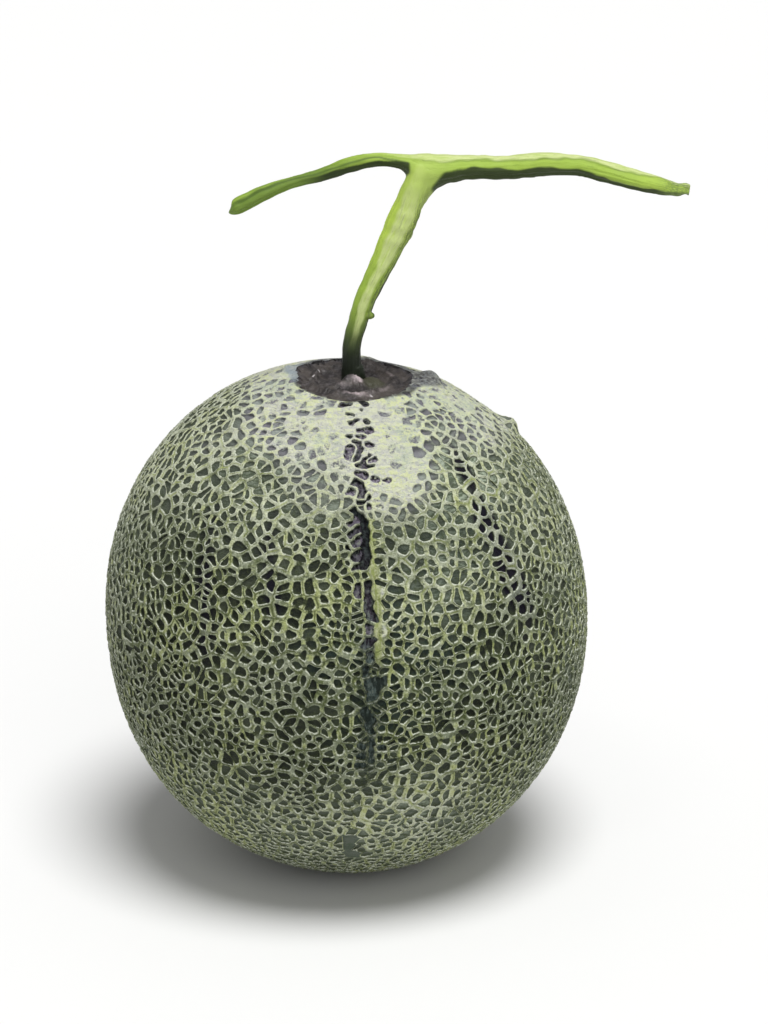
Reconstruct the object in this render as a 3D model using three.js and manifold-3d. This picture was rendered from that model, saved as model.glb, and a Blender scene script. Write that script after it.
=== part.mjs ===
// A netted melon with its T-shaped piece of vine, standing on its blossom end.
// Millimetres, +Z up. The origin is the centre of the small flat spot that the melon rests on.
// The front, with the long furrow in the net, faces -Y, and the vine lies along X.
import * as THREE from 'three';
import { ConvexHull } from 'three/addons/math/ConvexHull.js';
import { mergeVertices } from 'three/addons/utils/BufferGeometryUtils.js';
import Module from 'manifold-3d';

// Body of the melon
const HALF_WIDTH = 75;
const HALF_HEIGHT = 80;
const FULLNESS = 2.1;            // 2 is an ellipsoid, more is squarer
const LEAN = 0.0113;             // upper half fuller on the left, lower half on the right
const EGG = 0.0087;              // shoulders a little broader than the foot
const CENTRE_HEIGHT = 78.3;      // less than HALF_HEIGHT, so the foot is worn flat

// Net of raised ridges, drawn larger than life
const CELL_COUNT = 640;
const CELL_JITTER = 0.45;        // share of a cell's width
const RIDGE_TOP = 0.4;           // above the body's surface
const CELL_FLOOR = -1.2;
const FLOOR_SHARE = 0.74;        // width of a cell's floor against the cell's own width
const SHORTEST_RIDGE = 1.6;      // closer ridge crossings are joined into one
const NET_SEED = 20917;

// Furrow down the front
const FURROW_AZIMUTH = 6;        // degrees from -Y towards +X
const FURROW_TOP = 67;           // degrees of latitude
const FURROW_BOTTOM = -69;
const FURROW_STEP = 9.2;
const FURROW_ROW_OFFSET = 6.6;   // from the furrow's middle to the seeds beside it
const FURROW_CLEAR = 11.5;       // other seeds stay this far away
const FURROW_DEPTH = 1.6;
const FURROW_FLAT = 1.8;
const FURROW_EDGE = 4.2;
const FURROW_FADE = 7;           // degrees of latitude over which it runs out at each end

// Dark disc round the stalk, in its own frame: distance from its axis, height above its rim
const DISC_SIDES = 18;
const DISC_OFFSET_X = 2.8;
const DISC_TILT = 3;             // degrees, down to the right
const DISC_RADIUS = 17.6;
const DISC_FLOOR = -1.9;
const SOCKET_RADIUS = 5.8;
const SOCKET_DEPTH = 6.8;
const DISC_PROFILE = [[15.6, -1.0], [13.4, -1.3], [12.2, -0.7], [10.8, DISC_FLOOR], [7.8, DISC_FLOOR],
  [SOCKET_RADIUS, DISC_FLOOR], [SOCKET_RADIUS, DISC_FLOOR - SOCKET_DEPTH]];

// Flat spot at the blossom end
const REST_SIDES = 16;
const REST_RADIUS = 15.5;
const RING_SPREAD = 5.4;         // cells along a ring have their seeds about this far from it
const RING_JITTER = 0.2;         // share by which that distance and their spacing vary

// Stalk and vine: each row is x, y, z of the centreline and the thickness there
const JOINT_GAP = 0.35;
const FOOT_RADIUS = 6.8;
const FOOT_PROFILE = [[0, -6.1], [4.9, -6.1], [5.3, -5.6], [5.3, 0.1], [6.4, JOINT_GAP], [FOOT_RADIUS, 0.8],
  [5.4, 1.9], [4.2, 3.2], [3.5, 5.0], [0, 5.0]];
const STALK = [
  [2.4, 0.0, 155.6, 6.6], [2.3, 0.0, 161.0, 5.9], [2.5, -0.1, 166.5, 5.7], [4.2, -0.3, 173.1, 5.9],
  [6.6, -0.5, 180.6, 6.4], [10.1, -0.5, 188.0, 7.0], [13.3, -0.3, 195.4, 8.1], [16.6, -0.1, 202.7, 9.2],
  [19.0, 0.0, 210.0, 9.4], [21.6, 0.0, 217.0, 9.6]];
const VINE = [
  [-34.8, -2.6, 207.9, 4.3], [-29.5, -2.2, 210.7, 5.0], [-23.0, -1.8, 213.8, 4.5], [-15.0, -1.2, 216.5, 3.5],
  [-6.5, -0.6, 218.6, 4.0], [2.0, -0.1, 221.4, 4.7], [10.5, 0.1, 222.8, 4.2], [16.5, 0.2, 222.2, 5.6],
  [22.5, 0.2, 220.6, 8.4], [29.5, 0.3, 220.0, 8.8], [37.0, 0.5, 220.5, 7.3], [48.0, 1.0, 220.3, 7.1],
  [58.8, 1.3, 221.2, 7.2], [69.5, 1.3, 220.9, 6.2], [77.5, 1.0, 219.2, 6.5], [88.3, 0.4, 216.3, 6.0],
  [97.0, -0.2, 214.3, 4.8], [103.6, -0.6, 213.4, 2.6]];
const FORK = [
  [16.8, 0.0, 203.2, 8.4], [19.8, 0.0, 210.0, 9.3], [24.2, 0.1, 215.6, 9.0], [31.5, 0.3, 219.2, 7.2]];
const STEM_SIDES = 15;
const STEM_RIBS = 5;
const RIB_RELIEF = 0.07;         // share of the radius
const STATION_STEP = 4.4;
const NODE_CENTRE = [22.6, 0.1, 218.6];
const NODE_RADII = [7.4, 5.3, 5.2];
const BUD = { at: [6.9, -1.6, 175.8], radii: [1.8, 1.5, 1.6] };
const BUMP = { at: [18.6, -0.6, 199.4], radii: [2.2, 2.0, 2.8] };

const DEGREE = Math.PI / 180;
const MEAN_RADIUS = (HALF_WIDTH + HALF_HEIGHT) / 2;

const wasm = await Module();
wasm.setup();

// Seeded random numbers from 0 to 1 (mulberry32)
function randomFrom(seed) {
  let state = seed;
  return () => {
    state = (state + 0x6d2b79f5) | 0;
    let t = Math.imul(state ^ (state >>> 15), 1 | state);
    t = (t + Math.imul(t ^ (t >>> 7), 61 | t)) ^ t;
    return ((t ^ (t >>> 14)) >>> 0) / 4294967296;
  };
}

function direction(azimuth, latitude) {
  const level = Math.cos(latitude * DEGREE);
  return new THREE.Vector3(
    Math.sin(azimuth * DEGREE) * level, -Math.cos(azimuth * DEGREE) * level, Math.sin(latitude * DEGREE));
}

// Unit vectors across an axis
function across(axis) {
  const side = new THREE.Vector3(0, 1, 0).cross(axis).normalize();
  return [side, new THREE.Vector3().crossVectors(axis, side)];
}

function tilted(axis, angle, turn) {
  const [u, v] = across(axis);
  return axis.clone().multiplyScalar(Math.cos(angle))
    .addScaledVector(u, Math.sin(angle) * Math.cos(turn))
    .addScaledVector(v, Math.sin(angle) * Math.sin(turn));
}

// Distance from the melon's centre to its surface, before the net is raised on it
function bodyRadius(d) {
  const level = Math.hypot(d.x, d.y);
  const round = (level / HALF_WIDTH) ** FULLNESS + (Math.abs(d.z) / HALF_HEIGHT) ** FULLNESS;
  return round ** (-1 / FULLNESS) * (1 - LEAN * d.x * d.z + EGG * d.z * (1 - d.z * d.z));
}

// Distance to the right of the furrow's middle, or far away where the furrow has ended
function besideFurrow(d, margin) {
  const latitude = Math.asin(d.z) / DEGREE;
  const beyond = latitude > FURROW_TOP + margin || latitude < FURROW_BOTTOM - margin;
  if (beyond || d.dot(direction(FURROW_AZIMUTH, 0)) < 0) return Infinity;
  return d.dot(direction(FURROW_AZIMUTH + 90, 0)) * MEAN_RADIUS;
}

function furrowDepth(d) {
  const latitude = Math.asin(d.z) / DEGREE;
  const inside = Math.min(FURROW_TOP - latitude, latitude - FURROW_BOTTOM);
  const wall = THREE.MathUtils.smoothstep(Math.abs(besideFurrow(d, 0)), FURROW_FLAT, FURROW_EDGE);
  return FURROW_DEPTH * THREE.MathUtils.smoothstep(inside, 0, FURROW_FADE) * (1 - wall);
}

// Point of the melon in a direction from its centre; nothing reaches below the flat spot
function skin(d, lift) {
  const p = d.clone().multiplyScalar(bodyRadius(d) - furrowDepth(d) + lift);
  p.z = Math.max(p.z + CENTRE_HEIGHT, 0);
  return p;
}

const discAxis = new THREE.Vector3(DISC_OFFSET_X, 0, HALF_HEIGHT).normalize();
const discNormal = new THREE.Vector3(Math.sin(DISC_TILT * DEGREE), 0, Math.cos(DISC_TILT * DEGREE));
const discAngle = Math.asin(DISC_RADIUS / HALF_HEIGHT);
const restAxis = new THREE.Vector3(0, 0, -1);
const restAngle = Math.asin(REST_RADIUS / HALF_HEIGHT);
const ringSpread = RING_SPREAD / HALF_HEIGHT;

// Pairs of seeds inside and outside a circle of the given angle, so that the ridge between them follows it
function ringSeeds(random, axis, angle, sides, cap) {
  const seeds = [];
  for (let i = 0; i < sides; i += 1) {
    const turn = (2 * Math.PI * (i + RING_JITTER * (random() - 0.5))) / sides;
    const spread = ringSpread * (1 + RING_JITTER * (2 * random() - 1));
    seeds.push({ at: tilted(axis, angle + spread, turn), cap: null });
    seeds.push({ at: tilted(axis, angle - spread, turn), cap });
  }
  return seeds;
}

function furrowSeeds() {
  const seeds = [];
  const aside = FURROW_ROW_OFFSET / MEAN_RADIUS / DEGREE;
  for (let latitude = FURROW_TOP; latitude > FURROW_BOTTOM; latitude -= FURROW_STEP) {
    const turn = aside / Math.cos(latitude * DEGREE);
    seeds.push({ at: direction(FURROW_AZIMUTH, latitude), cap: null });
    seeds.push({ at: direction(FURROW_AZIMUTH + turn, latitude - FURROW_STEP * 0.32), cap: null });
    seeds.push({ at: direction(FURROW_AZIMUTH - turn, latitude - FURROW_STEP * 0.68), cap: null });
  }
  return seeds;
}


// One seed for each cell of the net: even, then shifted at random
function netSeeds() {
  const random = randomFrom(NET_SEED);
  const spacing = Math.sqrt((4 * Math.PI) / CELL_COUNT);
  const golden = Math.PI * (3 - Math.sqrt(5));
  const seeds = [];
  for (let i = 0; i < CELL_COUNT; i += 1) {
    const height = 1 - (2 * (i + 0.5)) / CELL_COUNT;
    const level = Math.sqrt(1 - height * height);
    const even = new THREE.Vector3(level * Math.cos(golden * i), level * Math.sin(golden * i), height);
    const at = tilted(even, spacing * CELL_JITTER * random(), 2 * Math.PI * random());
    const free = at.angleTo(discAxis) > discAngle + 2 * ringSpread
      && at.angleTo(restAxis) > restAngle + 2 * ringSpread
      && Math.abs(besideFurrow(at, FURROW_STEP / 2)) > FURROW_CLEAR;
    if (free) seeds.push({ at, cap: null });
  }
  seeds.push(...ringSeeds(random, discAxis, discAngle, DISC_SIDES, 'disc'));
  seeds.push(...ringSeeds(random, restAxis, restAngle, REST_SIDES, 'rest'));
  seeds.push(...furrowSeeds());
  return seeds;
}

// Cells of the net as loops of shared corners, one for each seed, and the corners' directions
function netCells(seeds) {
  const index = new Map(seeds.map((seed, i) => [seed.at, i]));
  const hull = new ConvexHull().setFromPoints(seeds.map((seed) => seed.at));
  const corners = hull.faces.map((face) => face.normal.clone().normalize());
  const parent = corners.map((_, i) => i);
  const root = (i) => (parent[i] === i ? i : root(parent[i]));
  const loops = seeds.map(() => []);
  const faceNumber = new Map(hull.faces.map((face, i) => [face, i]));
  hull.faces.forEach((face, i) => {
    let edge = face.edge;
    do {
      loops[index.get(edge.vertex.point)].push(i);
      const other = faceNumber.get(edge.twin.face);
      const apart = corners[i].distanceTo(corners[other]) * MEAN_RADIUS;
      if (apart < SHORTEST_RIDGE) parent[root(i)] = root(other);
      edge = edge.next;
    } while (edge !== face.edge);
  });
  const sorted = loops.map((loop, i) => sortedLoop(loop, seeds[i].at, corners, root));
  return { corners, loops: dippedLoops(sorted, corners) };
}

// Ridges that cross the furrow get a corner in its middle, where they dip
function dippedLoops(loops, corners) {
  const middles = new Map();
  return loops.map((loop) => loop.flatMap((a, i) => {
    const b = loop[(i + 1) % loop.length];
    const sideA = besideFurrow(corners[a], 0);
    const sideB = besideFurrow(corners[b], 0);
    if (sideA * sideB >= 0 || Math.abs(sideA - sideB) > FURROW_CLEAR) return [a];
    const key = [a, b].sort().join();
    if (!middles.has(key)) {
      const share = sideA / (sideA - sideB);
      middles.set(key, corners.push(corners[a].clone().lerp(corners[b], share).normalize()) - 1);
    }
    return [a, middles.get(key)];
  }));
}

// Corners counter-clockwise round a seed, with those that were joined counted once
function sortedLoop(loop, at, corners, root) {
  const [u, v] = across(at);
  const turn = (i) => Math.atan2(corners[i].dot(v), corners[i].dot(u));
  const sorted = [...loop].sort((a, b) => turn(a) - turn(b)).map(root);
  return sorted.filter((corner, i) => corner !== sorted[(i + 1) % sorted.length]);
}

// Triangle list with shared vertices
class Shell {
  constructor() {
    this.points = [];
    this.triangles = [];
  }

  add(p) {
    this.points.push(p);
    return this.points.length - 1;
  }

  triangle(a, b, c) {
    if (a !== b && b !== c && a !== c) this.triangles.push(a, b, c);
  }

  quad(a, b, c, d) {
    this.triangle(a, b, c);
    this.triangle(a, c, d);
  }

  // Band between two rings of the same length, the first one outside or below
  band(outer, inner) {
    for (let i = 0; i < outer.length; i += 1) {
      const j = (i + 1) % outer.length;
      this.quad(outer[i], outer[j], inner[j], inner[i]);
    }
  }

  fan(ring, centre) {
    for (let i = 0; i < ring.length; i += 1) this.triangle(ring[i], ring[(i + 1) % ring.length], centre);
  }

  geometry() {
    const geometry = new THREE.BufferGeometry();
    const flat = this.points.flatMap((p) => [p.x, p.y, p.z]);
    geometry.setAttribute('position', new THREE.Float32BufferAttribute(flat, 3));
    geometry.setIndex(this.triangles);
    return geometry;
  }
}

// One cell: ridges along its edge, sloping to a floor
function addCell(shell, loop, corners, crest) {
  const centre = loop.reduce((sum, i) => sum.add(corners[i]), new THREE.Vector3()).normalize();
  const foot = loop.map((i) => {
    const d = centre.clone().lerp(corners[i], FLOOR_SHARE).normalize();
    return shell.add(skin(d, CELL_FLOOR));
  });
  shell.band(loop.map(crest), foot);
  for (let i = 1; i < foot.length - 1; i += 1) shell.triangle(foot[0], foot[i], foot[i + 1]);
}

// Corners on the circle between kept and dropped seeds, counter-clockwise seen from outside
function capRing(cells, seeds, cap, axis, corners) {
  const inside = new Set();
  const outside = new Set();
  cells.forEach((loop, i) => loop.forEach((corner) => (seeds[i].cap === cap ? inside : outside).add(corner)));
  const [u, v] = across(axis);
  const turn = (i) => Math.atan2(corners[i].dot(v), corners[i].dot(u));
  return [...inside].filter((corner) => outside.has(corner)).sort((a, b) => turn(a) - turn(b));
}

// Sunken disc with its ring ridges and the socket that the stalk's foot fills
function addDisc(shell, ring, corners, crest) {
  const [u, v] = across(discNormal);
  const centre = skin(discAxis, 0);
  centre.z = discRimHeight();
  const circle = ([radius, height]) => ring.map((i) => {
    const p = skin(corners[i], 0).sub(centre);
    const turn = Math.atan2(p.dot(v), p.dot(u));
    return shell.add(discPoint(centre, radius, height, turn));
  });
  let outer = ring.map(crest);
  for (const step of DISC_PROFILE) {
    const inner = circle(step);
    shell.band(outer, inner);
    outer = inner;
  }
  shell.fan(outer, shell.add(discPoint(centre, 0, DISC_FLOOR - SOCKET_DEPTH, 0)));
}

function discRimHeight() {
  return skin(tilted(discAxis, discAngle, Math.PI / 2), 0).z;
}

function discPoint(centre, radius, height, turn) {
  const [u, v] = across(discNormal);
  return centre.clone().addScaledVector(discNormal, height)
    .addScaledVector(u, radius * Math.cos(turn)).addScaledVector(v, radius * Math.sin(turn));
}

function fruitGeometry() {
  const seeds = netSeeds();
  const { corners, loops } = netCells(seeds);
  const shell = new Shell();
  const crests = new Map();
  const crest = (i) => {
    if (!crests.has(i)) crests.set(i, shell.add(skin(corners[i], RIDGE_TOP)));
    return crests.get(i);
  };
  loops.forEach((loop, i) => {
    if (!seeds[i].cap) addCell(shell, loop, corners, crest);
  });
  addDisc(shell, capRing(loops, seeds, 'disc', discAxis, corners), corners, crest);
  const foot = capRing(loops, seeds, 'rest', restAxis, corners).map(crest);
  shell.fan(foot, shell.add(new THREE.Vector3(0, 0, 0)));
  return shell.geometry();
}

// Closed tube along a curve, with soft ribs and blunt ends
function tube(rows, twist) {
  const curve = new THREE.CatmullRomCurve3(rows.map(([x, y, z]) => new THREE.Vector3(x, y, z)));
  const stations = Math.round(curve.getLength() / STATION_STEP);
  const frames = curve.computeFrenetFrames(stations, false);
  const shell = new Shell();
  const rings = [];
  for (let s = 0; s <= stations; s += 1) {
    const t = curve.getUtoTmapping(s / stations);
    const at = curve.getPoint(t);
    rings.push(tubeRing(shell, at, frames.normals[s], frames.binormals[s], thickness(rows, t) / 2, twist));
    if (s > 0) shell.band(rings[s - 1], rings[s]);
  }
  shell.fan([...rings[0]].reverse(), shell.add(curve.getPoint(0)));
  shell.fan(rings[stations], shell.add(curve.getPoint(1)));
  return shell.geometry();
}

function tubeRing(shell, at, normal, binormal, radius, twist) {
  const ring = [];
  for (let i = 0; i < STEM_SIDES; i += 1) {
    const turn = (2 * Math.PI * i) / STEM_SIDES;
    const ribbed = radius * (1 + RIB_RELIEF * Math.cos(STEM_RIBS * turn + twist));
    ring.push(shell.add(at.clone().addScaledVector(normal, ribbed * Math.cos(turn))
      .addScaledVector(binormal, ribbed * Math.sin(turn))));
  }
  return ring;
}

function thickness(rows, t) {
  const place = t * (rows.length - 1);
  const i = Math.min(Math.floor(place), rows.length - 2);
  return THREE.MathUtils.lerp(rows[i][3], rows[i + 1][3], THREE.MathUtils.smoothstep(place - i, 0, 1));
}

function lump(at, radii) {
  const sphere = new THREE.SphereGeometry(1, 12, 7);
  return sphere.scale(...radii).translate(...at);
}

// Stalk's foot: a peg in the socket, flared where it stands on the disc
function footGeometry() {
  const profile = FOOT_PROFILE.map(([radius, height]) => new THREE.Vector2(radius, height));
  const lathe = new THREE.LatheGeometry(profile, DISC_SIDES);
  const centre = skin(discAxis, 0);
  centre.z = discRimHeight();
  const turn = new THREE.Quaternion().setFromUnitVectors(new THREE.Vector3(0, 1, 0), discNormal);
  lathe.applyQuaternion(turn);
  const at = centre.addScaledVector(discNormal, DISC_FLOOR);
  return lathe.translate(at.x, at.y, at.z);
}

function solid(geometry) {
  geometry.deleteAttribute('normal');
  geometry.deleteAttribute('uv');
  const merged = mergeVertices(geometry, 1e-4);
  return new wasm.Manifold(new wasm.Mesh({
    numProp: 3,
    vertProperties: new Float32Array(merged.attributes.position.array),
    triVerts: new Uint32Array(merged.index.array),
  }));
}

function fused(geometries) {
  const mesh = geometries.map(solid).reduce((whole, piece) => whole.add(piece)).getMesh();
  const geometry = new THREE.BufferGeometry();
  geometry.setAttribute('position', new THREE.BufferAttribute(new Float32Array(mesh.vertProperties), 3));
  geometry.setIndex(new THREE.BufferAttribute(new Uint32Array(mesh.triVerts), 1));
  return geometry;
}

function stemGeometry() {
  return fused([
    footGeometry(), tube(STALK, 0.4), tube(VINE, 1.3), tube(FORK, 0.9), lump(NODE_CENTRE, NODE_RADII),
    lump(BUD.at, BUD.radii), lump(BUMP.at, BUMP.radii)]);
}

const rind = new THREE.MeshStandardMaterial({ color: 0x8f9a78, roughness: 0.6, metalness: 0 });
const vineSkin = new THREE.MeshStandardMaterial({ color: 0x93a858, roughness: 0.55, metalness: 0 });

function part(name, geometry, material) {
  const mesh = new THREE.Mesh(geometry, material);
  mesh.name = name;
  return mesh;
}

const melon = new THREE.Group();
melon.add(part('fruit', fruitGeometry(), rind));
melon.add(part('stem', stemGeometry(), vineSkin));

export default melon;
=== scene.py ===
# A netted melon with its T-shaped piece of vine, on a plain pale floor.
# Lengths are millimetres until a mesh is made from them, and metres in Blender.
import math

import bpy
import numpy as np
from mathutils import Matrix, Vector
from mathutils.geometry import delaunay_2d_cdt


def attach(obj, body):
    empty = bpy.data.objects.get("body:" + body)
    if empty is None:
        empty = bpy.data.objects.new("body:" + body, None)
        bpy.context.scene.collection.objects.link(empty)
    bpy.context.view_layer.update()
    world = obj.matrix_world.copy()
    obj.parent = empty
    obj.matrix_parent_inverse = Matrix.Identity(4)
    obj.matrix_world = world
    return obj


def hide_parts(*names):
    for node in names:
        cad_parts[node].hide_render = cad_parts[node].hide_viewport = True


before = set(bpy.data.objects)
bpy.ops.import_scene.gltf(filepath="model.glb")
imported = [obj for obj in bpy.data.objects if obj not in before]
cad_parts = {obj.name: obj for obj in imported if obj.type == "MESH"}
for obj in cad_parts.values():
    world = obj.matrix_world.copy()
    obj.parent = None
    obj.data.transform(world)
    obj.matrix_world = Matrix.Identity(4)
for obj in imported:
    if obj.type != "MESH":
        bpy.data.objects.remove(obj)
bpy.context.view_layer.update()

METRES = 0.001

# Body of the melon: the solids' form, 0.1 mm narrower each way so that the net stays in their box
HALF_WIDTH = 74.9
HALF_HEIGHT = 80.0
FULLNESS = 2.1
LEAN = 0.0113
EGG = 0.0087
CENTRE_HEIGHT = 78.3
MEAN_RADIUS = (HALF_WIDTH + HALF_HEIGHT) / 2

# Unevenness of the body. Each lump or hollow is azimuth, latitude, and height and radius in millimetres.
SWELLING = 0.3
SWELLING_WAVES = 4.5  # waves in a radian
LUMPS = [(118, 52, -2.0, 11.0), (95, 50, 2.6, 3.2), (102, 70.5, 2.4, 3.2), (147, 67, -1.0, 5.0),
         (167, 71, 1.2, 4.0), (-110, 77, 1.0, 2.6), (-70, 68, 0.9, 5.0)]

# Net
NET_SEED = 419
CELL_COUNT = 5200
CELL_JITTER = 0.7  # share of the mean distance between cells
RELAXED = 0.4  # of the way that each cell's middle moves to the middle of its corners
MISSING_SHARE = 0.13  # cells left out, whose neighbours grow large
SPLIT_SHARE = 0.36  # cells made into two long ones
SPLIT_REACH = 0.25  # share of the mean distance, from the old middle to each new one
LEVEL_SPLITS = (22, 30)  # degrees from the furrow and latitude within which the two lie level
TINY_SHARE = 0.06  # corners between cells that get a tiny cell of their own
CLOSEST_CELLS = 1.3
JOINED_CORNERS = 0.45  # corners nearer than this are one
BEND_LENGTHS = (0.95, 2.3, 3.6)  # a ridge has one bend more from each of these lengths
BOW = 0.11  # sideways, as a share of the ridge's length
BOW_RAGGED = 0.035
RIDGE_HALF_WIDTH = 1.18
WIDTH_VARIES = 0.38  # from ridge to ridge
WIDTH_DRIFTS = 0.14  # from place to place
TWIN_WIDTH = 0.6  # of a ridge that splits a cell, against the others
TWIN_LEVELS = (0.5, 1.0)
RIDGE_HEIGHT = 0.9
LEVEL_VARIES = 0.2
BROKEN_SHARE = 0.04  # ridges that sink in their middle
BROKEN_LEVELS = (0.8, 0.35, 0.8)  # at their start, middle and end
LOW_WIDTH = 0.45  # of a ridge that has sunk away, against one of full height
GROOVED_SHARE = 0.55  # ridges with two crests
GROOVES = (0.6, 1.3)  # how deep the groove between them is, and in the other ridges
FAINT_GROOVE = 0.15
SIDE_GROOVE = 0.1  # in ridges beside the furrow or inside a split cell
OPEN_BENDS = 3  # of a line across an opening, where there is no ridge
GROOVE_DEPTH = 0.34  # between a ridge's two crests
CREST_INSET = 0.5  # from the foot of a ridge to its crest
CREST_LEAST = 0.45  # least share of the ridge's half width at which its crest lies
SHOULDER_INSET = 0.22
SHOULDER_LEAST = 0.75
SHOULDER_LEVEL = 0.6
FLOOR_DOME = 0.08
SMALLEST_HOLE = 0.2  # share of a cell's inner radius
NARROW_DEPTH = 0.65  # of the narrowest holes, against wide ones
FLOOR_VARIES = (-0.08, 0.1)
NARROWEST = 0.06
LONGEST_MITRE = 2.0  # of a ridge's foot at a corner, against its half width
SHORTEST_SIDE = 0.15  # of a hole, against the ridge beside it

# Corky crust, where the net has grown together
CRUST_REACH = 29.0  # degrees from the middle of the disc
CRUST_FRONT_REACH = 15.0  # further down on both sides of the furrow
CRUST_FRONT_WIDTH = 26.0  # degrees of azimuth
CRUST_RIGHT_REACH = 7.0  # on the right of the furrow
CRUST_RIGHT = (20, 16)  # degrees from the furrow to its middle, and its width
CRUST_EDGE = (-18, 14)  # degrees beyond its reach where it starts, and within where it is full
CRUST_RAGGED = 4.0
CRUST_BELT = (-40.0, 13.0, 0.5)  # latitude, spread and strength of the closer net near the foot
CRUST_WIDENS = 1.1
BELT_PATCHES = 0.22  # strength of the closer net elsewhere
BELT_WIDENS = 0.35
CRUST_LIFT = 0.12
CRUST_FILLS = 0.7  # of the grooves in the ridges
CRUST_SHALLOW = 0.35  # of the holes' depth
CRUST_HOLES = 0.8  # how much chance decides which cells close
# Soft round spots on the melon: azimuth, latitude, radius in degrees and strength
CRUST_LOOSE = [(-40, 60, 14, 0.45), (-62, 64, 12, 0.3), (50, 62, 12, 0.3)]  # where more cells stay open
PALE_SPOTS = [(19, -31, 12, 1.0), (-4, -34, 14, 0.45), (20, 24, 10, 0.3), (-21, 40, 9, 0.35),
              (24, 56, 12, 0.5), (62, 40, 14, 0.4), (-60, 45, 14, 0.3), (-86, 10, 26, 0.4),
              (-20, 5, 15, 0.25), (-34, -35, 14, 0.2)]
TEAL_SPOTS = [(16, 14, 13, 0.8), (8, -8, 10, 0.7), (32, 36, 14, 0.5), (-6, 12, 7, 0.5)]  # bluer floors
HAZE_SPOTS = [(30, 58, 13, 1.0), (44, 46, 9, 0.7), (16, 47, 8, 0.5), (26, 28, 9, 0.45), (-30, 56, 12, 0.6),
              (-8, 47, 7, 0.6), (84, 8, 24, 0.65), (84, -24, 20, 0.4), (76, 46, 15, 0.6), (-88, 20, 22, 0.35),
              (17, -32, 13, 0.6), (-30, -38, 14, 0.25)]  # film over the holes' floors
PALE_LATITUDES = (12, 60)  # where the net grows paler
PALE_WIDENS = 0.2
CLOSED_DEPTH = 0.07

# Grey skin beyond the disc's rim: its reach all round, and how much more it is at some turns from the right
BRUISE_REACH = 0.6
BRUISES = [(0.25, 0.8, 10.5), (1.7, 0.8, 6.5), (2.95, 0.35, 2.6), (-2.95, 0.35, 2.6)]  # turn, width, reach

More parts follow.
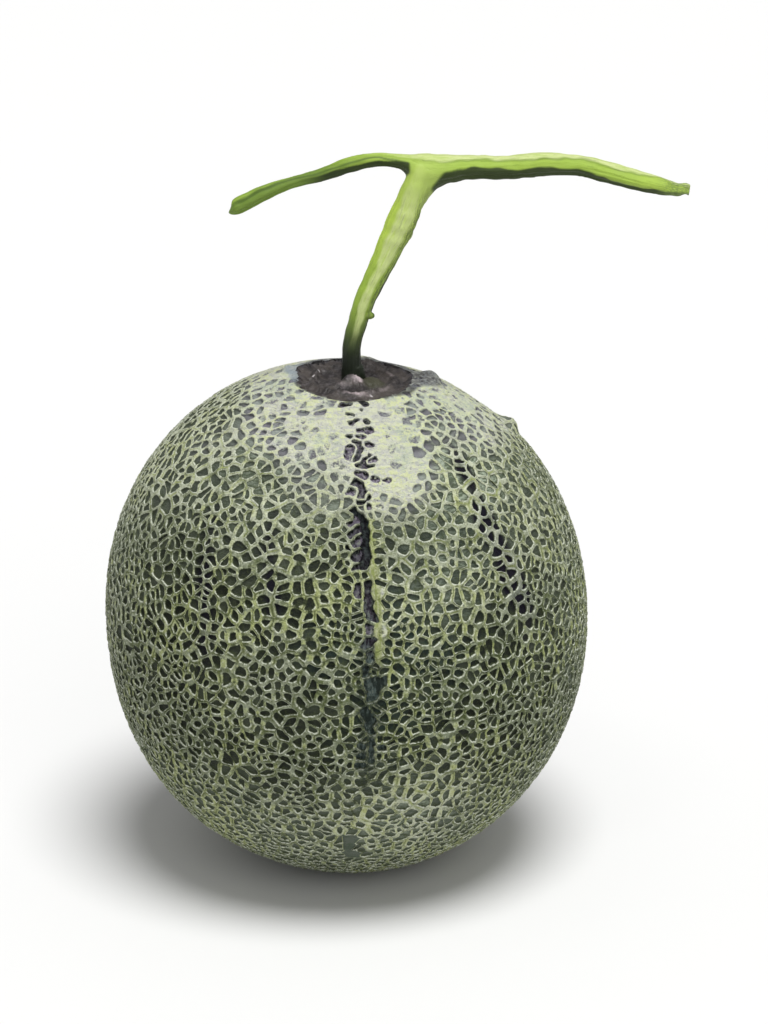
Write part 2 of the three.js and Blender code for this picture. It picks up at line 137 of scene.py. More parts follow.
# Furrow down the front, as strokes: number, half width, how pale its floor is and its line of azimuths and
# latitudes. Strokes with one number open into each other, and 20.1 to 20.5 are bays of stroke 20.
FURROW_STROKES = [
    (2, 0.30, 0.10, [(9.9, 69.9), (11.1, 68.1)]),
    (2, 0.60, 0.30, [(11.5, 67.2), (11.6, 65.8)]),
    (3, 0.50, 0.40, [(1.7, 68.4), (4.4, 68.3)]),
    (4, 0.65, 0.55, [(2.8, 65.8), (5.9, 66.2)]),
    (5, 1.05, 0.80, [(6.8, 63.4), (11.8, 63.4)]),
    (6, 0.50, 0.50, [(1.7, 61.6), (2.1, 61.2)]),
    (7, 0.70, 0.85, [(6.5, 61.4), (10.0, 60.9)]),
    (8, 1.50, 0.75, [(2.7, 58.5), (2.2, 57.3), (2.0, 56.1)]),
    (9, 0.26, 0.40, [(5.0, 60.1), (7.1, 58.1), (4.4, 55.5)]),
    (10, 0.80, 0.70, [(8.8, 59.0), (11.0, 58.8)]),
    (11, 0.26, 0.40, [(9.5, 56.4), (5.6, 53.9)]),
    (11, 0.26, 0.40, [(6.3, 53.4), (11.1, 53.4)]),
    (12, 0.90, 0.90, [(9.2, 54.8), (10.8, 55.2)]),
    (13, 1.05, 0.70, [(4.7, 51.8), (6.5, 51.2)]),
    (14, 0.90, 0.90, [(9.9, 50.3), (9.9, 49.9)]),
    (15, 0.60, 0.90, [(14.1, 49.8), (15.3, 49.7)]),
    (16, 0.42, 0.40, [(2.8, 49.8), (4.9, 49.2), (6.1, 47.9), (5.1, 46.5)]),
    (17, 1.10, 0.90, [(2.2, 47.5), (2.0, 47.0)]),
    (18, 0.36, 0.15, [(4.7, 44.8), (5.5, 45.7), (7.8, 46.1)]),
    (19, 0.60, 0.70, [(7.0, 43.8), (7.4, 43.8)]),
    (20, 0.70, 0.00, [(2.5, 43.4), (4.2, 42.5), (5.5, 40.8)]),
    (20, 0.85, 0.00, [(5.5, 39.9), (5.6, 37.9), (5.5, 35.5)]),
    (20, 0.95, 0.05, [(5.5, 34.2), (5.3, 32.7), (4.9, 31.0)]),
    (20.1, 0.75, 0.60, [(1.5, 40.2), (3.2, 41.2)]),
    (20.2, 0.70, 0.35, [(1.3, 37.6), (3.3, 38.9)]),
    (20.3, 0.50, 0.40, [(2.2, 35.8), (3.5, 36.9)]),
    (21, 0.35, 0.05, [(0.5, 35.0), (2.7, 34.9)]),
    (20.4, 0.60, 0.35, [(2.0, 32.6), (3.3, 33.6)]),
    (20.5, 0.90, 0.35, [(2.2, 30.7), (3.2, 30.8)]),
    (22, 1.30, 0.20, [(5.1, 27.1), (5.3, 25.4), (5.0, 23.1), (6.0, 21.1), (6.2, 19.6)]),
    (23, 0.70, 0.45, [(3.3, 27.0), (3.1, 24.6)]),
    (24, 1.00, 0.60, [(5.4, 17.9), (5.4, 16.8)]),
    (25, 1.10, 0.25, [(4.7, 13.5), (5.8, 14.1), (5.8, 15.0)]),
    (26, 1.20, 0.60, [(5.5, 11.9), (5.4, 10.5)]),
    (27, 0.80, 0.30, [(4.5, 8.5), (4.5, 7.2)]),
    (28, 1.40, 0.20, [(5.0, 5.6), (5.4, 4.3)]),
    (28, 2.00, 0.25, [(6.0, 2.8), (5.6, 1.1)]),
    (28, 0.90, 0.15, [(7.0, 5.8), (8.5, 5.8)]),
    (29, 1.30, 0.15, [(5.2, -2.9), (5.7, -4.3)]),
    (29, 1.00, 0.20, [(5.1, -5.6), (5.7, -7.0)]),
    (30, 0.60, 0.30, [(5.8, -8.8), (5.8, -11.6), (5.8, -14.8)]),
    (31, 0.80, 0.25, [(3.1, -10.4), (4.1, -10.4)]),
    (32, 0.45, 0.25, [(2.7, -12.8), (4.1, -12.9)]),
    (33, 0.90, 0.25, [(2.8, -15.5), (4.1, -15.6)]),
    (34, 0.90, 0.15, [(7.5, -11.0), (8.6, -11.0)])]
BANK_WIDTH = 2.2  # smooth pale ridge on the right of its widest slits
BANK_LATITUDES = (11, 41)
FURROW_PATH = [(-46, -0.5), (-20, 4.5), (0, 5.5), (24, 5.5), (42, 5.6), (60, 5.2), (74, 5.5)]
FURROW_DUSK = [(-24, 0.0), (-16, 2.6), (-4, 3.8), (3, 4.4), (9, 3.0), (16, 1.0), (24, 0.6), (30, 0.0)]
FURROW_STEP = 1.5
FURROW_SIDE_STEP = 3.2
SIDE_ROOM = 0.72  # between a stroke and the cells round it, against what a ridge needs
PLAIN_ROOM = 0.8  # and between a stroke and the net's other cells
FURROW_DEPTH = 0.8  # below the floor of a hole
FURROW_UNEVEN = 0.22
SHALLOW = 0.3  # how much less deep its palest floors are than a hole
SHALLOW_IN_CRUST = 0.55  # how much shallower pale floors are in the crust
FURROW_RIDGE_SHARE = 0.4  # ridges are narrower inside it
SMOOTH_PATCH = (0.5, -43.5, 2.2, 8.0)  # a patch without a net: azimuth, latitude, half width and height
TRACKS = [(45, 4.0, 8, 62, 1.0), (-18, 3.0, 15, 50, 0.5), (-37, 3.5, 5, 45, 0.6), (125, 4, -30, 50, 0.8),
          (-110, 4, -20, 55, 0.8), (172, 4, -50, 60, 1.0)]
UV_REACH = 0.47
UV_WIDENS = 1.74
SECTORS = {"rind_front": 6, "rind_right": 96, "rind_back": 186, "rind_left": -84}  # azimuths
SECTOR_HALF = 45
WALL_UV = (0.035, 0.02)  # place and size of the inner walls' unused corner of the bake map

# Disc round the stalk, in its own frame: distance from its axis, height above its rim
DISC_OFFSET_X = 2.8
DISC_TILT = 3.0
DISC_RADIUS = 17.6
DISC_FRONT = 0.3  # further towards the front
DISC_PAIRS = 34
DISC_SPREAD = 1.7
RIM_PHASE = 0.07  # of the distance between two pairs
RIM_POCKETS = [(-2, 5), (9, 16)]  # azimuths of dark pockets just outside the rim, in front
POCKET_PALE = 0.5
DISC_FLOOR = -1.9
DISC_PROFILE = [(0, -1.9), (7.0, -2.0), (9.8, -1.9), (10.8, -1.5), (11.4, -0.7), (11.9, -0.5), (12.4, -0.7),
                (13.2, -1.3), (14.2, -1.3), (15.6, -1.1), (16.6, -0.7), (17.6, -0.1)]
DISC_RINGS = [17.0, 16.4, 15.8, 15.2, 14.6, 14.1, 13.6, 13.1, 12.7, 12.3, 12.0, 11.7, 11.4, 11.1, 10.8, 10.4,
              9.9, 9.4, 8.9, 8.4, 7.9, 7.4, 6.9, 6.4, 5.9, 5.4, 4.9, 4.4, 3.8, 2.8]
DISC_FINENESS = 5  # points for each one on the rim
DISC_UNDERSIDE = -14.0
# Lumps in it: place to the right and to the back of its middle, half width both ways and height
DISC_LUMPS = [((-0.8, -4.4), (3.0, 3.6), 2.9), ((-4.2, -7.6), (3.8, 2.8), 1.3),
              ((1.6, -4.6), (1.2, 1.6), 0.6), ((6.2, -1.8), (3.2, 4.0), 2.0),
              ((-8.2, -6.0), (3.2, 2.4), -0.9), ((9.6, -0.5), (1.6, 3.0), -0.8),
              ((-11.4, 1.6), (1.6, 2.6), 0.9), ((-8.0, 6.0), (3.0, 1.6), 0.7),
              ((-13.0, -2.6), (1.3, 1.3), -1.2), ((4.8, -13.6), (1.6, 1.0), 0.5),
              ((0.5, 7.5), (6.0, 4.0), 0.9), ((5.0, 13.5), (4.0, 2.6), 2.4)]
# Spots of colour in it, with a strength in place of a height. The glints are painted highlights, and the rosy
# spots are pinkish callus with a painted highlight along the ring ridge's front.
DISC_ROSY = [((1.0, -15.6), (5.0, 0.9), 0.7), ((0.4, -5.0), (2.4, 2.2), 0.5),
             ((1.6, -4.6), (1.0, 1.2), 0.9), ((-3.6, -8.0), (3.2, 1.6), 0.4)]
DISC_OLIVE = [((6.2, -2.4), (3.8, 5.0), 1.1)]
DISC_GLINTS = [((-10.8, 4.2), (0.8, 0.6), 1.0), ((-12.2, -0.2), (0.6, 0.6), 0.9),
               ((-9.0, 5.4), (1.6, 0.6), 0.5), ((5.4, -15.4), (0.9, 0.7), 0.8),
               ((5.4, 4.6), (0.6, 0.5), 0.5), ((1.5, -16.6), (3.4, 0.5), 0.5),
               ((-2.8, -16.8), (2.2, 0.4), 0.35)]

# Scar at the blossom end
SCAR_RADIUS = 5.0

# Stalk and vine: x, y, z of the centreline and the thickness there. The vine starts 1 mm further left than
# the solids' vine.
STALK = [
    (2.4, 0.0, 152.0, 6.8), (2.3, 0.0, 161.0, 5.9), (2.5, -0.1, 166.5, 5.7), (4.2, -0.3, 173.1, 5.9),
    (6.6, -0.5, 180.6, 6.4), (10.1, -0.5, 188.0, 7.0), (13.5, -0.3, 195.4, 7.9), (17.4, -0.3, 204.2, 9.0),
    (19.6, -0.7, 210.0, 8.3), (21.4, -1.2, 215.5, 7.4), (22.8, -1.3, 219.8, 6.0)]
VINE = [
    (-34.4, -2.7, 208.3, 4.9), (-29.0, -2.2, 210.9, 5.0), (-23.0, -1.8, 213.8, 4.5),
    (-15.0, -1.2, 216.5, 3.5), (-6.5, -0.6, 218.6, 4.0), (2.0, -0.1, 221.5, 4.7), (9.5, 0.1, 222.9, 4.2),
    (16.8, 0.2, 222.5, 4.5), (22.5, 0.2, 220.6, 8.4), (29.5, 0.3, 220.0, 8.8), (37.0, 0.5, 220.5, 7.3),
    (48.0, 1.0, 220.3, 7.1), (58.8, 1.3, 221.2, 7.2), (69.5, 1.3, 220.9, 6.2), (77.5, 1.0, 219.2, 6.5),
    (88.3, 0.4, 216.3, 6.0), (97.0, -0.2, 214.3, 4.8), (103.4, -0.6, 213.4, 3.0)]
FORK = [(20.0, 0.4, 207.5, 5.6), (22.4, 0.5, 212.3, 6.6), (26.2, 0.5, 216.6, 6.6), (33.5, 0.5, 219.6, 5.6)]
# Radius and height of the stalk's foot
FOOT_PROFILE = [(4.0, -1.4), (3.9, -0.4), (3.7, 0.7), (3.5, 1.9), (3.3, 3.2), (3.0, 5.0)]
STEM_SIDES = 96
STEM_STEP = 0.5
CURVE_FINENESS = 40  # points between two rows
FIBRE_DEPTH = 0.009  # against the radius
KNOB_DEPTH = 0.008
LEFT_GROOVE_DEPTH = 0.12
# Sections: angle round the stem, from the front over the top or the left, and radius against the mean
VINE_SECTION = [(-90, 0.93), (-72, 1.0), (-44, 0.80), (-16, 1.03), (-2, 1.04), (14, 1.0), (30, 0.97),
                (40, 0.85), (50, 0.98), (70, 1.04), (100, 1.0), (140, 0.98), (180, 1.02), (225, 0.96)]
STALK_SECTION = [(-90, 0.90), (-76, 0.97), (-62, 0.88), (-50, 0.98), (-40, 0.92), (-28, 1.0), (-6, 1.04),
                 (24, 1.0), (50, 0.96), (84, 1.02), (130, 1.0), (180, 1.02), (225, 0.97)]
STEM_LUMPS = [((25.0, -0.4, 219.4), (6.0, 4.3, 4.0)), ((7.6, -2.0, 175.6), (1.7, 1.3, 1.1)),
              ((18.6, -0.2, 201.6), (2.3, 2.4, 3.4))]
VINE_SEED = 2
LEFT_ARM_LENGTH = 54.0
LEFT_ARM_TURN = 30.0
STEM_VOXEL = 0.3
MEETING = (24.0, -3.5, 217.0)
MEETING_REACH = 6.5
MEETING_SOFTENING = 90
STEM_SOFTENING = 2
MEETING_LEVELS = 10  # steps of the softening's strength
TORN_LENGTH = 9.0  # of the right end
TORN_DEPTH = 0.22  # of its rags, against the radius
TORN_NARROWS = 0.06
ROUND_END = 3.6  # of the left end
VINE_CUT = 0.8  # slope across the left end
END_SHARE = 0.25  # radius at its very end, against the whole

# Camera, fitted to the outline of the melon
CAMERA_AT = (0.0, -936.7, 428.5)
CAMERA_AIM = (12.2, 11.3, 108.5)
LENS = 112.5
SENSOR = 36.0

# Studio: sizes in metres, and each sun's name, direction, strength and spread in degrees
FLOOR_HALF = 3.0
SKY = 0.32
SUNS = [("overhead", (120, -260, 1000), 2.9, 28), ("front", (250, -1000, 500), 0.6, 50)]


def unit(v):
    return v / np.linalg.norm(v, axis=-1, keepdims=True)


def dot(a, b):
    return np.sum(a * b, axis=-1)


def smooth(x, low, high):
    t = np.clip((x - low) / (high - low), 0, 1)
    return t * t * (3 - 2 * t)


def band(x, start, full, fading, end):
    """From 0 to 1 between start and full, and back between fading and end."""
    return smooth(x, start, full) * smooth(x, end, fading)


def heading(azimuth, latitude):
    azimuth, latitude = np.broadcast_arrays(np.radians(azimuth), np.radians(latitude))
    level = np.cos(latitude)
    return np.stack([np.sin(azimuth) * level, -np.cos(azimuth) * level, np.sin(latitude)], -1)


def azimuth_of(d):
    return np.degrees(np.arctan2(d[..., 0], -d[..., 1]))


def latitude_of(d):
    return np.degrees(np.arcsin(np.clip(d[..., 2], -1, 1)))


def turned_from(azimuth, middle):
    return (azimuth - middle + 180) % 360 - 180


def compass(d):
    """East and north at each direction."""
    east = unit(np.cross([0.0, 0.0, 1.0], d) + [1e-9, 0, 0])
    return east, np.cross(d, east)


def waves(d, seed, count, scale):
    """Smooth noise of about unit size, with about this many waves in a radian."""
    rng = np.random.default_rng(seed)
    k = unit(rng.normal(size=(count, 3))) * 2 * math.pi * scale * rng.uniform(0.5, 1.5, (count, 1))
    phase = rng.uniform(0, 2 * math.pi, count)
    return np.sin(d @ k.T + phase).sum(axis=-1) * math.sqrt(2 / count)


def bell(x, width):
    return np.exp(-(x / width) ** 2)


def angle_between(d, other):
    return np.arccos(np.clip(d @ other, -1, 1))


def summed(count, index, values):
    """Sum of the values that have each index."""
    total = np.zeros((count,) + np.shape(values)[1:])
    np.add.at(total, index, values)
    return total


disc_axis = unit(np.array([DISC_OFFSET_X, 0, HALF_HEIGHT]))
disc_normal = np.array([math.sin(math.radians(DISC_TILT)), 0, math.cos(math.radians(DISC_TILT))])
disc_angle = math.asin(DISC_RADIUS / HALF_HEIGHT)
disc_right = unit(np.cross([0, 1.0, 0], disc_axis))
disc_back = np.cross(disc_axis, disc_right)


def body_radius(d):
    x, z = d[..., 0], d[..., 2]
    level = np.sqrt(np.clip(1 - z * z, 0, 1))
    rounded = (level / HALF_WIDTH) ** FULLNESS + (np.abs(z) / HALF_HEIGHT) ** FULLNESS
    return rounded ** (-1 / FULLNESS) * (1 - LEAN * x * z + EGG * z * (1 - z * z))


def unevenness(d):
    rise = SWELLING * waves(d, 11, 20, SWELLING_WAVES / (2 * math.pi))
    for azimuth, latitude, height, radius in LUMPS:
        rise = rise + height * bell(angle_between(d, heading(azimuth, latitude)) * MEAN_RADIUS, radius)
    return rise


def skin(d, lift):
    """Point of the melon in a direction from its centre. The foot is worn flat, and keeps its net."""
    p = d * (body_radius(d) + unevenness(d))[..., None]
    p[..., 2] = np.maximum(p[..., 2] + CENTRE_HEIGHT, 0)
    p = p + d * np.asarray(lift)[..., None]
    p[..., 2] = np.maximum(p[..., 2], 0)
    return p


def rim_stretch(turn):
    """How far the disc reaches, against its radius, by the turn from its right side towards its back."""
    front = DISC_FRONT * np.clip(-np.sin(turn), 0, 1) ** 1.6
    return 1 + front + 0.03 * np.sin(3 * turn + 1) + 0.02 * np.sin(7 * turn)


def rim_angle(d):
    return disc_angle * rim_stretch(np.arctan2(d @ disc_back, d @ disc_right))


def spots_at(d, rows):
    """Sum of soft round spots, from 0 to 1."""
    total = np.zeros(len(d))
    for azimuth, latitude, radius, strength in rows:
        total = total + strength * bell(np.degrees(angle_between(d, heading(azimuth, latitude))), radius)
    return np.clip(total, 0, 1)


def crust_at(d):
    """How far the net has closed into a crust, from 0 to 1."""
    beside = turned_from(azimuth_of(d), 3)
    reach = CRUST_REACH + CRUST_FRONT_REACH * bell(beside, CRUST_FRONT_WIDTH)
    middle, width = CRUST_RIGHT
    reach = reach + CRUST_RIGHT_REACH * bell(beside - middle, width)
    ragged = CRUST_RAGGED * waves(d, 12, 24, 2.2)
    return smooth(reach + ragged - np.degrees(angle_between(d, disc_axis)), *CRUST_EDGE)


def belt_at(d):
    """How much closer the net is, near the foot and in patches."""
    latitude, spread, strength = CRUST_BELT
    belt = strength * bell(latitude_of(d) - latitude, spread)
    return np.clip(belt + BELT_PATCHES * (1 + waves(d, 13, 24, 1.6)), 0, 1)


def bruise_at(d):
    """Grey skin round the disc, widest on its right."""
    from_rim = (angle_between(d, disc_axis) - rim_angle(d)) * HALF_HEIGHT
    turn = np.arctan2(d @ disc_back, d @ disc_right)
    reach = BRUISE_REACH + sum(more * bell(turn - middle, width) for middle, width, more in BRUISES)
    return smooth(from_rim / (reach * (1 + 0.25 * waves(d, 16, 16, 4))), 1.15, 0.35)


def track_at(d):
    """Dark lines where the skin between the ridges is blackish purple."""
    strength = np.zeros(len(d))
    latitude = latitude_of(d)
    for azimuth, width, foot, top, most in TRACKS:
        aside = turned_from(azimuth_of(d), azimuth + 3 * np.sin(latitude / 11 + azimuth))
        along = band(latitude, foot - 8, foot + 4, top - 6, top + 6)
        strength = np.maximum(strength, most * bell(aside, width) * along)
    return np.clip(strength * (0.85 + 0.3 * waves(d, 14, 16, 3)), 0, 1)


def pallor_at(d):
    """How pale the net is, from 0 to 1: most at the top, and in some spots."""
    pallor = smooth(latitude_of(d) + 6 * waves(d, 17, 20, 1.2), *PALE_LATITUDES)
    return np.clip(pallor + spots_at(d, PALE_SPOTS), 0, 1)


def furrow_depth(d):
    return FURROW_DEPTH + FURROW_UNEVEN * waves(d, 19, 20, 5)


def bank_at(d):
    """Nearness to the smooth pale ridge on the right of the furrow."""
    latitude, aside = latitude_of(d), path_distance(d)
    start = 0.7 + 0.8 * smooth(latitude, 30, 24)
    end = start + BANK_WIDTH
    low, high = BANK_LATITUDES
    reach = band(latitude, low - 3, low + 1, high - 1, high + 2)
    return band(aside, start - 0.3, start + 0.2, end - 0.4, end + 0.3) * reach


def dusk_at(d):
    """How dark the net is beside the furrow's lower part."""
    reach = by_latitude(latitude_of(d), FURROW_DUSK)
    aside = path_distance(d) / np.maximum(reach * (1 + 0.4 * waves(d, 18, 20, 4.5)), 0.3)
    return np.exp(-aside ** 4) * smooth(reach, 0, 1.2)


# Kinds of cell
PLAIN, FURROW, SIDE, CAP, SCAR, PATCH = range(6)
FLAT_KINDS = (SCAR, PATCH)


def even_directions(count):
    rank = np.arange(count)
    z = 1 - (2 * rank + 1) / count
    turn = rank * math.pi * (3 - math.sqrt(5))
    level = np.sqrt(1 - z * z)
    return np.stack([level * np.cos(turn), level * np.sin(turn), z], -1)


def shifted(d, distance, turn):
    east, north = compass(d)
    return unit(d + (east * np.cos(turn)[:, None] + north * np.sin(turn)[:, None]) * distance[:, None])


def split_cells(rng, at, spacing):
    """Some cells become two beside each other. Near the furrow's lower part they lie level."""
    chosen = rng.random(len(at)) < SPLIT_SHARE
    turn = rng.uniform(0, math.pi, chosen.sum())
    near, below = LEVEL_SPLITS
    level = (np.abs(turned_from(azimuth_of(at[chosen]), 5)) < near) & (latitude_of(at[chosen]) < below)
    turn = np.where(level, math.pi / 2 + rng.normal(0, 0.35, len(turn)), turn)
    reach = np.full(chosen.sum(), spacing * SPLIT_REACH)
    one = shifted(at[chosen], reach, turn)
    other = shifted(at[chosen], -reach, turn)
    twin = np.concatenate([np.full((~chosen).sum(), -1), np.tile(np.arange(len(turn)), 2)])
    return np.concatenate([at[~chosen], one, other]), twin


def by_latitude(latitude, rows):
    knots, values = zip(*rows)
    return np.interp(latitude, knots, values)


def path_distance(d):
    """Millimetres to the right of the furrow's path."""
    latitude = latitude_of(d)
    turn = np.radians(turned_from(azimuth_of(d), by_latitude(latitude, FURROW_PATH)))
    return turn * np.cos(np.radians(latitude)) * MEAN_RADIUS


def clear_of_furrow(at, strokes, share):
    """Which cells are outside the furrow's strokes, by a share of the distance that a ridge needs."""
    middles = np.concatenate([line for line, _ in strokes])
    room = np.concatenate([np.full(len(line), stroke_reach(half)) for line, half in strokes])
    apart = np.linalg.norm(at[:, None] - middles[None], axis=2)
    return (apart > room * share).all(axis=1)


def stroke_reach(half):
    """Distance from the middle of a stroke to the cells beside it."""
    return 2 * (half + FURROW_RIDGE_SHARE * RIDGE_HALF_WIDTH) / MEAN_RADIUS


def along_stroke(points, step):
    """Directions at even steps along a line of azimuths and latitudes, and their directions to its left."""
    knots = heading(*np.array(points, float).T)
    gaps = np.linalg.norm(np.diff(knots, axis=0), axis=1) * MEAN_RADIUS
    along = np.append(0, np.cumsum(gaps))
    stops = np.linspace(0, along[-1], max(2, int(round(along[-1] / step)) + 1))
    at = unit(np.stack([np.interp(stops, along, knots[:, i]) for i in range(3)], -1))
    ahead = unit(np.gradient(at, axis=0))
    return at, unit(np.cross(at, ahead))


def around_stroke(points, reach, step, rng):
    """Cells on both sides of a stroke and at its ends."""
    line, left = along_stroke(points, step)
    ahead = np.cross(left, line)
    cells = [[line[0] - ahead[0] * reach, line[-1] + ahead[-1] * reach]]
    for side in (1, -1):
        spread = side * reach * rng.uniform(0.9, 1.3, (len(line), 1))
        slip = step / MEAN_RADIUS * rng.uniform(-0.4, 0.4, (len(line), 1))
        cells.append(line + left * spread + ahead * slip)
    return unit(np.concatenate(cells))


def furrow_cells(rng):
    """Cells of the furrow's strokes, then the ones round them, with their kinds, strokes and paleness."""
    strokes = [(along_stroke(points, FURROW_STEP)[0], half) for _, half, _, points in FURROW_STROKES]
    rows = [(line, FURROW, number, pale) for (line, _), (number, _, pale, _) in zip(strokes, FURROW_STROKES)]
    for _, half, _, points in FURROW_STROKES:
        cells = around_stroke(points, stroke_reach(half), FURROW_SIDE_STEP, rng)
        rows.append((cells[clear_of_furrow(cells, strokes, SIDE_ROOM)], SIDE, -1, 0))
    groups = [(at, *(np.full(len(at), value) for value in values)) for at, *values in rows]
    return [np.concatenate(column) for column in zip(*groups)], strokes


def rim_cells(rng):
    """Pairs on both sides of the disc's rim, so that a ridge follows it. Some outer ones are dark pockets."""
    place = np.arange(DISC_PAIRS) + RIM_PHASE + 0.1 * (rng.random(DISC_PAIRS) - 0.5)
    turn = 2 * math.pi * place / DISC_PAIRS
    radial = disc_right * np.cos(turn)[:, None] + disc_back * np.sin(turn)[:, None]
    angle = disc_angle * rim_stretch(turn)
    spread = DISC_SPREAD / HALF_HEIGHT * rng.uniform(0.8, 1.2, DISC_PAIRS)
    at = []
    for side in (1, -1):
        tilt = (angle + side * spread)[:, None]
        at.append(disc_axis * np.cos(tilt) + radial * np.sin(tilt))
    at = np.concatenate(at)
    azimuth = azimuth_of(at)
    kind = np.repeat([PLAIN, CAP], DISC_PAIRS)
    pocket = np.any([(azimuth > low) & (azimuth < high) for low, high in RIM_POCKETS], axis=0)
    pocket &= kind == PLAIN
    return at, np.where(pocket, FURROW, kind), np.full(len(at), -1), POCKET_PALE * pocket


def spaced(at):
    """Which cells stay when the later one of every two that are too close goes. Furrow and rim come first."""
    close = CLOSEST_CELLS / MEAN_RADIUS
    order = np.argsort(at[:, 2])
    keep = np.ones(len(at), bool)
    for rank, i in enumerate(order):
        for j in order[rank + 1:]:
            if at[j, 2] - at[i, 2] > close:
                break
            if keep[i] and keep[j] and np.sum((at[i] - at[j]) ** 2) < close * close:
                keep[max(i, j)] = False
    return keep


def net_cells(rng):
    """Every cell's middle, kind, number that the halves of a split cell or a stroke share, and paleness."""
    spacing = math.sqrt(4 * math.pi / CELL_COUNT)
    at = even_directions(CELL_COUNT)
    at = shifted(at, spacing * CELL_JITTER * rng.random(len(at)), 2 * math.pi * rng.random(len(at)))
    at = at[rng.random(len(at)) > MISSING_SHARE]
    at, twin = split_cells(rng, at, spacing)
    furrow, strokes = furrow_cells(rng)
    free = angle_between(at, disc_axis) > rim_angle(at) + 2 * DISC_SPREAD / HALF_HEIGHT
    free &= clear_of_furrow(at, strokes, PLAIN_ROOM)
    at, twin = at[free], twin[free]
    kind = np.where(at[:, 2] < -math.cos(SCAR_RADIUS / HALF_HEIGHT), SCAR, PLAIN)
    azimuth, latitude, half_width, half_height = SMOOTH_PATCH
    aside = turned_from(azimuth_of(at), azimuth) / 180 * math.pi * np.cos(np.radians(latitude)) * MEAN_RADIUS
    above = np.radians(latitude_of(at) - latitude) * MEAN_RADIUS
    kind = np.where((aside / half_width) ** 2 + (above / half_height) ** 2 < 1, PATCH, kind)
    groups = [rim_cells(rng), furrow, (at, kind, np.where(twin < 0, -1, twin + 1000), np.zeros(len(at)))]
    at, kind, share, pale = (np.concatenate(column) for column in zip(*groups))
    keep = spaced(at)
    free = np.arange(len(at))[keep] >= len(at) - len(twin)
    at, kind, share, pale = relaxed(at[keep], free), kind[keep], share[keep], pale[keep]
    tiny = tiny_cells(at, kind, rng)
    more = [np.full(len(tiny), value) for value in (PLAIN, -1, 0)]
    return [np.concatenate(pair) for pair in zip((at, kind, share, pale), (tiny, *more))]


def triangles_between(at):
    """Delaunay triangles, counter-clockwise from outside, by way of a plane seen from the disc's axis."""
    u, v = compass(disc_axis)
    flat = np.stack([at @ u, at @ v], -1) * 2 / (1 - at @ disc_axis)[:, None]
    faces = np.array(delaunay_2d_cdt(flat.tolist(), [], [], 0, 1e-9, False)[2])
    a, b, c = (at[faces[:, i]] for i in range(3))
    normal = np.cross(b - a, c - a)
    inward = dot(normal, a) < 0
    faces[inward] = faces[inward][:, [0, 2, 1]]
    normal[inward] *= -1
    return faces, unit(normal)


def relaxed(at, free):
    """Free cells moved towards the middle of their corners, which makes them rounder and more even."""
    faces, corners = triangles_between(at)
    total = summed(len(at), faces.ravel(), np.repeat(corners, 3, axis=0))
    return unit(at + (unit(total) - at) * (RELAXED * free)[:, None])


def tiny_cells(at, kind, rng):
    """Some of the corners between plain cells, as the middles of tiny ones."""
    faces, corners = triangles_between(at)
    plain = (kind[faces] == PLAIN).all(axis=1)
    plain &= np.linalg.norm(corners - at[faces[:, 0]], axis=1) * MEAN_RADIUS > CLOSEST_CELLS
    return corners[plain & (rng.random(len(faces)) < TINY_SHARE)]


def following(cell):
    """For corners sorted by cell, the next corner round the same cell."""
    first = np.flatnonzero(np.r_[True, cell[1:] != cell[:-1]])
    after = np.arange(len(cell)) + 1
    after[np.r_[first[1:] - 1, len(cell) - 1]] = first
    return after


def joined(count, a, b):
    """One label for all that a chain of pairs joins."""
    label = np.arange(count)
    while True:
        low = np.minimum(label[a], label[b])
        before = label.copy()
        np.minimum.at(label, a, low)
        np.minimum.at(label, b, low)
        if (label == before).all():
            return label


def cell_loops(at, kind):
    """Corners of the cells, counter-clockwise and sorted by cell, and the corners' directions."""
    faces, corners = triangles_between(at)
    face = np.repeat(np.arange(len(faces)), 3)
    cell = faces.ravel()
    east, north = compass(at)
    turn = np.arctan2(dot(corners[face], north[cell]), dot(corners[face], east[cell]))
    order = np.lexsort((turn, cell))
    order = order[kind[cell[order]] != CAP]
    cell, face = cell[order], face[order]
    after = face[following(cell)]
    close = np.linalg.norm(corners[face] - corners[after], axis=1) * MEAN_RADIUS < JOINED_CORNERS
    label = joined(len(corners), face[close], after[close])
    names, corner = np.unique(label[face], return_inverse=True)
    total = summed(len(corners), label, corners)
    for _ in range(2):
        keep = corner != corner[following(cell)]
        cell, corner = cell[keep], corner[keep]
        sides = np.bincount(cell, minlength=len(at))[cell]
        cell, corner = cell[sides > 2], corner[sides > 2]
    return cell, corner, unit(total[names])


